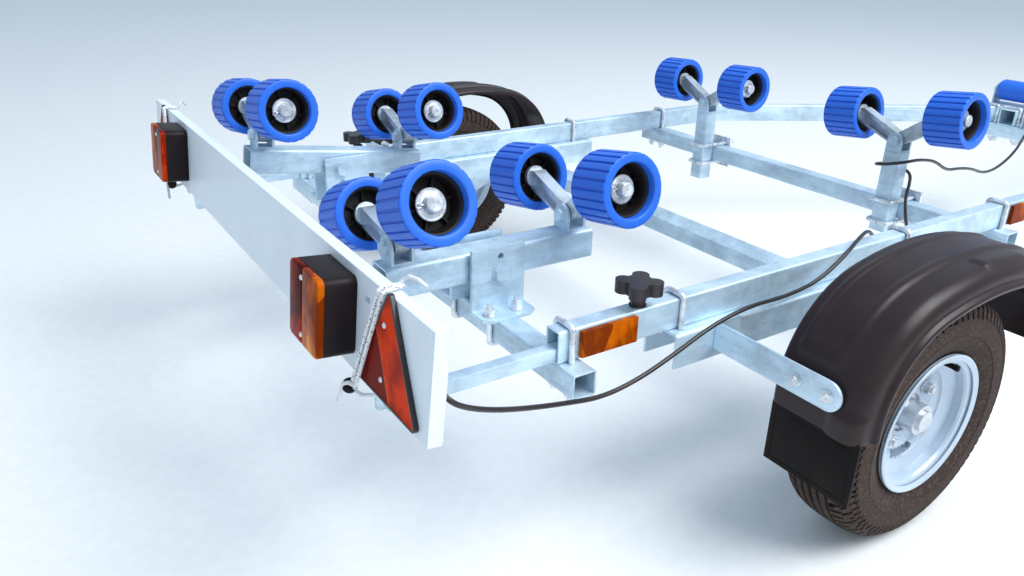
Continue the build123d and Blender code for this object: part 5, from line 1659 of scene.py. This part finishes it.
@dataclass
class BoardLights:
    """Lamps, triangular reflectors and screws on the rear of the lighting board."""

    middle: Point = (-0.258, 0.0, 0.4465)
    lean: float = 5.4
    face: float = -0.0098
    lamp_y: float = 0.425
    lamp_z: float = 0.005
    width: float = 0.098
    height: float = 0.104
    depth: float = 0.0408
    lens: float = 0.009
    housing_round: float = 0.011
    housing_edge: float = 0.0018
    recess: float = 0.0012
    lens_round: float = 0.009
    red_share: float = 0.45
    triangle_y: float = 0.571
    triangle_z: float = -0.0140
    triangle_side: float = 0.163
    tray_edge: float = 0.0032
    tray_round: float = 0.006
    tray_deep: float = 0.0064
    field_sink: float = 0.0052
    ridge: float = 0.0030
    ridge_rise: float = 0.0005
    screw_sink: float = 0.0058
    tray_screws: tuple[tuple[float, float], ...] = ((0.5610, -0.036), (0.5640, 0.0335))
    lens_screw: float = 0.038
    lens_screw_aside: float = 0.006

    def on_board(self) -> Matrix:
        """Matrix from the board's own directions to the frame."""
        return Matrix.Translation(from_rear(self.middle)) @ Matrix.Rotation(math.radians(self.lean), 4, "Y")

    def housing(self) -> bpy.types.Object:
        """Deep housing with round corners and a seam, for the left lamp.

        Returns:
            The new object.
        """
        low = (self.face - self.depth, self.lamp_y - self.width / 2, self.lamp_z - self.height / 2)
        high = (self.face, self.lamp_y + self.width / 2, self.lamp_z + self.height / 2)
        box = Bench.block("housing", low, high)
        Bench.round_along(box, Axis.X, self.housing_round, 6)
        Bench.push(box, lambda f: f.normal.x < -0.9, 0.0, self.housing_edge)
        Bench.push(box, lambda f: f.normal.x < -0.9 and f.area > 0.004, -self.recess)
        Bench.bevel(box, 0.0016, 3, 40.0)
        Bench.smooth(box, 40.0)
        return box

    def lens_part(self, red: bool) -> bpy.types.Object:
        """One of the left lamp's two lenses, with its round outer corners.

        Args:
            red: Whether it is the red one.

        Returns:
            The new object.
        """
        full = self.width - 0.001
        span = full * (self.red_share if red else 1 - self.red_share)
        low_y = self.lamp_y - full / 2 if red else self.lamp_y + full / 2 - span
        back = self.face - self.depth + self.recess
        rise = self.height / 2 - 0.0005
        low = (back - self.lens - self.recess, low_y + (0 if red else 0.0002), self.lamp_z - rise)
        high = (back, low_y + span - (0.0002 if red else 0), self.lamp_z + rise)
        lens = Bench.block("lens", low, high)
        edge_y = low[1] if red else high[1]
        Bench.round_along(lens, Axis.X, self.lens_round, 6, lambda v: abs(v.y - edge_y) < 0.001)
        Bench.bevel(lens, 0.0024, 3, 45.0)
        Bench.smooth(lens, 40.0)
        return lens

    def corners(self, inset: float) -> list[Vector]:
        """Corners of the left triangle: apex, outer foot and inner foot, drawn in by an inset.

        Args:
            inset: How far the triangle's sides are drawn in.

        Returns:
            The three corners.
        """
        radius = self.triangle_side / math.sqrt(3) - 2 * inset
        return [Vector((0, self.triangle_y + radius * math.cos(a), self.triangle_z + radius * math.sin(a)))
                for a in (math.pi / 2, -math.pi / 6, 7 * math.pi / 6)]

    def triangle_rim(self) -> bpy.types.Object:
        """Black tray of the triangular reflector with round corners.

        Returns:
            The new object.
        """
        points = []
        for k, corner in enumerate(self.corners(0.0)):
            inwards = Vector((0, self.triangle_y, self.triangle_z)) - corner
            middle = corner + inwards * (2 * self.tray_round / (self.triangle_side / math.sqrt(3)))
            start = math.pi / 2 - 2 * math.pi * k / 3 + math.pi / 3
            for step in range(7):
                a = start - step * (2 * math.pi / 3) / 6
                points.append((self.face, middle.y + self.tray_round * math.cos(a),
                               middle.z + self.tray_round * math.sin(a)))
        rim = Bench.outline("rim", points)
        Bench.fill(rim, (-1, 0, 0))
        Bench.push(rim, lambda f: True, self.tray_deep)
        Bench.push(rim, lambda f: f.normal.x < -0.9 and f.area > 0.002, 0.0, self.tray_edge)
        Bench.push(rim, lambda f: f.normal.x < -0.9 and f.area > 0.002, -self.recess)
        Bench.outward(rim)
        Bench.bevel(rim, 0.0009, 3, 40.0)
        Bench.smooth(rim, 40.0)
        return rim

    def triangle_field(self) -> bpy.types.Object:
        """Ridged red field.

        Returns:
            The new object.
        """
        top, foot, other = self.corners(self.tray_edge)
        rows = round((top.z - foot.z) / self.ridge) * 4
        columns = 12

        def place(up: float, across: float) -> Point:
            """Point of the field for two fractions.

            Args:
                up: Fraction of the height.
                across: Fraction of the width.

            Returns:
                The point.
            """
            wide = (foot.y - other.y) / 2 * (1 - up)
            ridge = self.ridge_rise * (0.5 + 0.5 * math.cos(2 * math.pi * up * rows / 4))
            y = self.triangle_y + wide * (2 * across - 1)
            return (self.face - self.field_sink - ridge, y, foot.z + (top.z - foot.z) * up)

        field = Bench.sheet("field", rows, columns, place)
        if field.data.polygons[0].normal.x > 0:
            field.data.flip_normals()
        Bench.smooth(field, 80.0)
        return field

    def build(self) -> None:
        """Both sides of the board."""
        onto = self.on_board()
        for name, pattern, slot, node, finish in (
                ("lamp_housing_pair", self.housing(), "black_plastic", "lamp_housings", HOUSING),
                ("red_lens_pair", self.lens_part(True), "red_lens", "red_lenses", None),
                ("amber_lens_pair", self.lens_part(False), "amber_lens", "amber_lenses", None),
                ("triangle_tray_pair", self.triangle_rim(), "black_plastic", "triangle_reflectors", None),
                ("triangle_field_pair", self.triangle_field(), "red_lens", None, REFLECTOR)):
            mount(name, [pattern], slot, "light_board", node, finish, onto)
        screw = Fastener().pan_head()
        lens_face = self.face - self.depth - self.lens + 0.0004
        spots = [(self.face - self.screw_sink, y, z) for y, z in self.tray_screws]
        spots += [(lens_face, self.lamp_y - self.lens_screw_aside, self.lamp_z + z)
                  for z in (-self.lens_screw, self.lens_screw)]
        heads = [Bench.copy(screw, "screw", towards(spot, (-1, 0, 0), spot[2] * 40)) for spot in spots]
        mount("board_screws", heads, "zinc_plate", "light_board", onto=onto)
        Bench.drop(screw)


@dataclass
class BoardFittings:
    """Arms and brackets behind the lighting board, the elastic cords over it and their balls."""

    board_half: float = 0.0095
    board_top: float = 0.0685
    arm_y: float = 0.514
    arm_z: float = 0.3483
    arm_half: float = 0.010
    arm_back: float = -0.2405
    arm_front: float = 0.700
    arm_wall: float = 0.002
    arm_hollow: float = 0.060
    plug_back: float = -0.2515
    plug_front: float = -0.2375
    plug_rise: float = 0.026
    plate_low: float = -0.066
    plate_high: float = 0.023
    plate_end: float = 0.545
    plate_thick: float = 0.005
    tab_y: float = 0.471
    tab_half: float = 0.0025
    tab_reach: tuple[float, float] = (-0.2480, -0.2050)
    tab_height: tuple[float, float] = (0.311, 0.392)
    slot_reach: tuple[float, float] = (-0.2420, -0.2260)
    slot_height: tuple[float, float] = (0.3290, 0.3370)
    cord: float = 0.0027
    cord_gap: float = 0.0050
    cord_low: float = 0.498
    cord_top: float = 0.552
    wire: float = 0.0026
    hook_gap: float = 0.012
    ball: float = 0.0100
    ball_aside: float = 0.011
    ball_z: float = -0.079

    def arm(self) -> bpy.types.Object:
        """Left square tube with open ends, and its plug at the bracket.

        Returns:
            The new object.
        """
        y, z, half = self.arm_y, self.arm_z, self.arm_half
        tube = Bench.block("arm", (REAR + self.arm_back, y - half, z - half),
                           (REAR + self.arm_front, y + half, z + half))
        Bench.push(tube, lambda f: abs(f.normal.x) > 0.9, 0.0, self.arm_wall)
        Bench.push(tube, lambda f: abs(f.normal.x) > 0.9 and f.area > 0.0002, -self.arm_hollow)
        plug = Bench.block("plug", (REAR + self.plug_back, y - half, z - half),
                           (REAR + self.plug_front, y + half, z + self.plug_rise))
        arm = Bench.join("arm", [tube, plug])
        Bench.bevel(arm, 0.0012, 2, 50.0)
        Bench.smooth(arm, 40.0)
        return arm

    def bracket(self, onto: Matrix) -> bpy.types.Object:
        """Left angle bracket: a plate on the board's front and a slotted tab below it.

        Args:
            onto: Matrix from the board's own directions to the frame.

        Returns:
            The new object.
        """
        front, y = self.board_half + 0.0003, self.tab_y
        plate = Bench.block("plate", (front, y, self.plate_low),
                            (front + self.plate_thick, self.plate_end, self.plate_high))
        plate.data.transform(onto)
        (back, ahead), (low, high) = self.tab_reach, self.tab_height
        tab = Bench.block("tab", (REAR + back, y - self.tab_half, low),
                          (REAR + ahead, y + self.tab_half, high))
        Bench.round_along(tab, Axis.Y, 0.006, 5, lambda v: v.z < 0.32)
        (back, ahead), (low, high) = self.slot_reach, self.slot_height
        slot = Bench.block("slot", (REAR + back, y - 0.01, low), (REAR + ahead, y + 0.01, high))
        Bench.round_along(slot, Axis.Y, 0.0038, 6)
        Bench.bore(tab, slot)
        bracket = Bench.join("bracket", [plate, tab])
        Bench.bevel(bracket, 0.0008, 2, 50.0)
        Bench.smooth(bracket, 40.0)
        return bracket

    def strands(self) -> bpy.types.Object:
        """Left doubled cord from its low end over the board's top edge.

        Returns:
            The new object.
        """
        back, top = -self.board_half - 0.004, self.board_top + 0.0035
        parts = []
        for shift in (-self.cord_gap, self.cord_gap):
            low, high = self.cord_low + shift, self.cord_top + shift
            points = [(back - 0.008, low, -0.074), (back - 0.003, high, top - 0.003),
                      (back + 0.002, high, top), (-back - 0.003, high - 0.003 - shift / 2, top + 0.001)]
            parts.append(Bench.bent_rod("strand", points, self.cord))
        return Bench.join("strands", parts)

    def hooks(self) -> bpy.types.Object:
        """Left wire hooks at both ends of the cord, and the wire of the ball.

        Returns:
            The new object.
        """
        top, back = self.board_top, -self.board_half - self.hook_gap
        high, low = self.cord_top, self.cord_low
        upper = [(0.0095, high - 0.006, top + 0.0045), (0.0140, high - 0.006, top + 0.0100),
                 (0.0180, high, top + 0.0150), (0.0240, high + 0.010, top + 0.0140),
                 (0.0320, high + 0.014, top + 0.0070)]
        lower = [(back, low, -0.073), (back - 0.005, low - 0.004, -0.0705),
                 (back - 0.009, low - 0.010, -0.074), (back - 0.009, low - 0.016, -0.086),
                 (back - 0.009, low - 0.026, -0.105)]
        tie = [(back, low - 0.010, -0.080), (back + 0.010, low + 0.002, -0.088),
               (self.board_half - 0.002, low + 0.014, -0.086)]
        wires = [Bench.bent_rod("hook", points, self.wire) for points in (upper, lower, tie)]
        return Bench.join("hooks", wires)

    def build(self) -> None:
        """Both sides, on the board's own body."""
        onto = BoardLights().on_board()
        back = -self.board_half - self.hook_gap
        ball = Bench.ball("ball", (back, self.cord_low - self.ball_aside, self.ball_z), self.ball, 28)
        Bench.smooth(ball, 60.0)
        mount("sliding_arms", [self.arm(), self.bracket(onto)], "galvanised", "light_board", "board_arms")
        mount("cord_strands", [self.strands()], "white_cord", "light_board", "elastic_cords", onto=onto)
        mount("cord_hooks", [self.hooks()], "zinc_plate", "light_board", finish=SLEEVE, onto=onto)
        mount("cord_ball_pair", [ball], "black_rubber", "light_board", "cord_balls", onto=onto)


def dress_nodes() -> None:
    """Give each node that keeps its shape the finish of its slot in the record."""
    for entry in frame["record"]["subparts"]:
        paint(frame["nodes"][entry["node"]], FINISHES[entry["material_slot"]])
    LOG.info("%d nodes dressed", len(frame["nodes"]))


def main() -> None:
    """Build the studio and dress every sub-assembly."""
    logging.basicConfig(level=logging.INFO, format="%(name)s: %(message)s")
    Studio().build()
    LightingCable().build()
    dress_nodes()
    for assembly in (Tyre(), RimTrim(), Roller(), Mudguard(), BoardLights(), BoardFittings()):
        assembly.build()


if __name__ == "__main__":
    main()
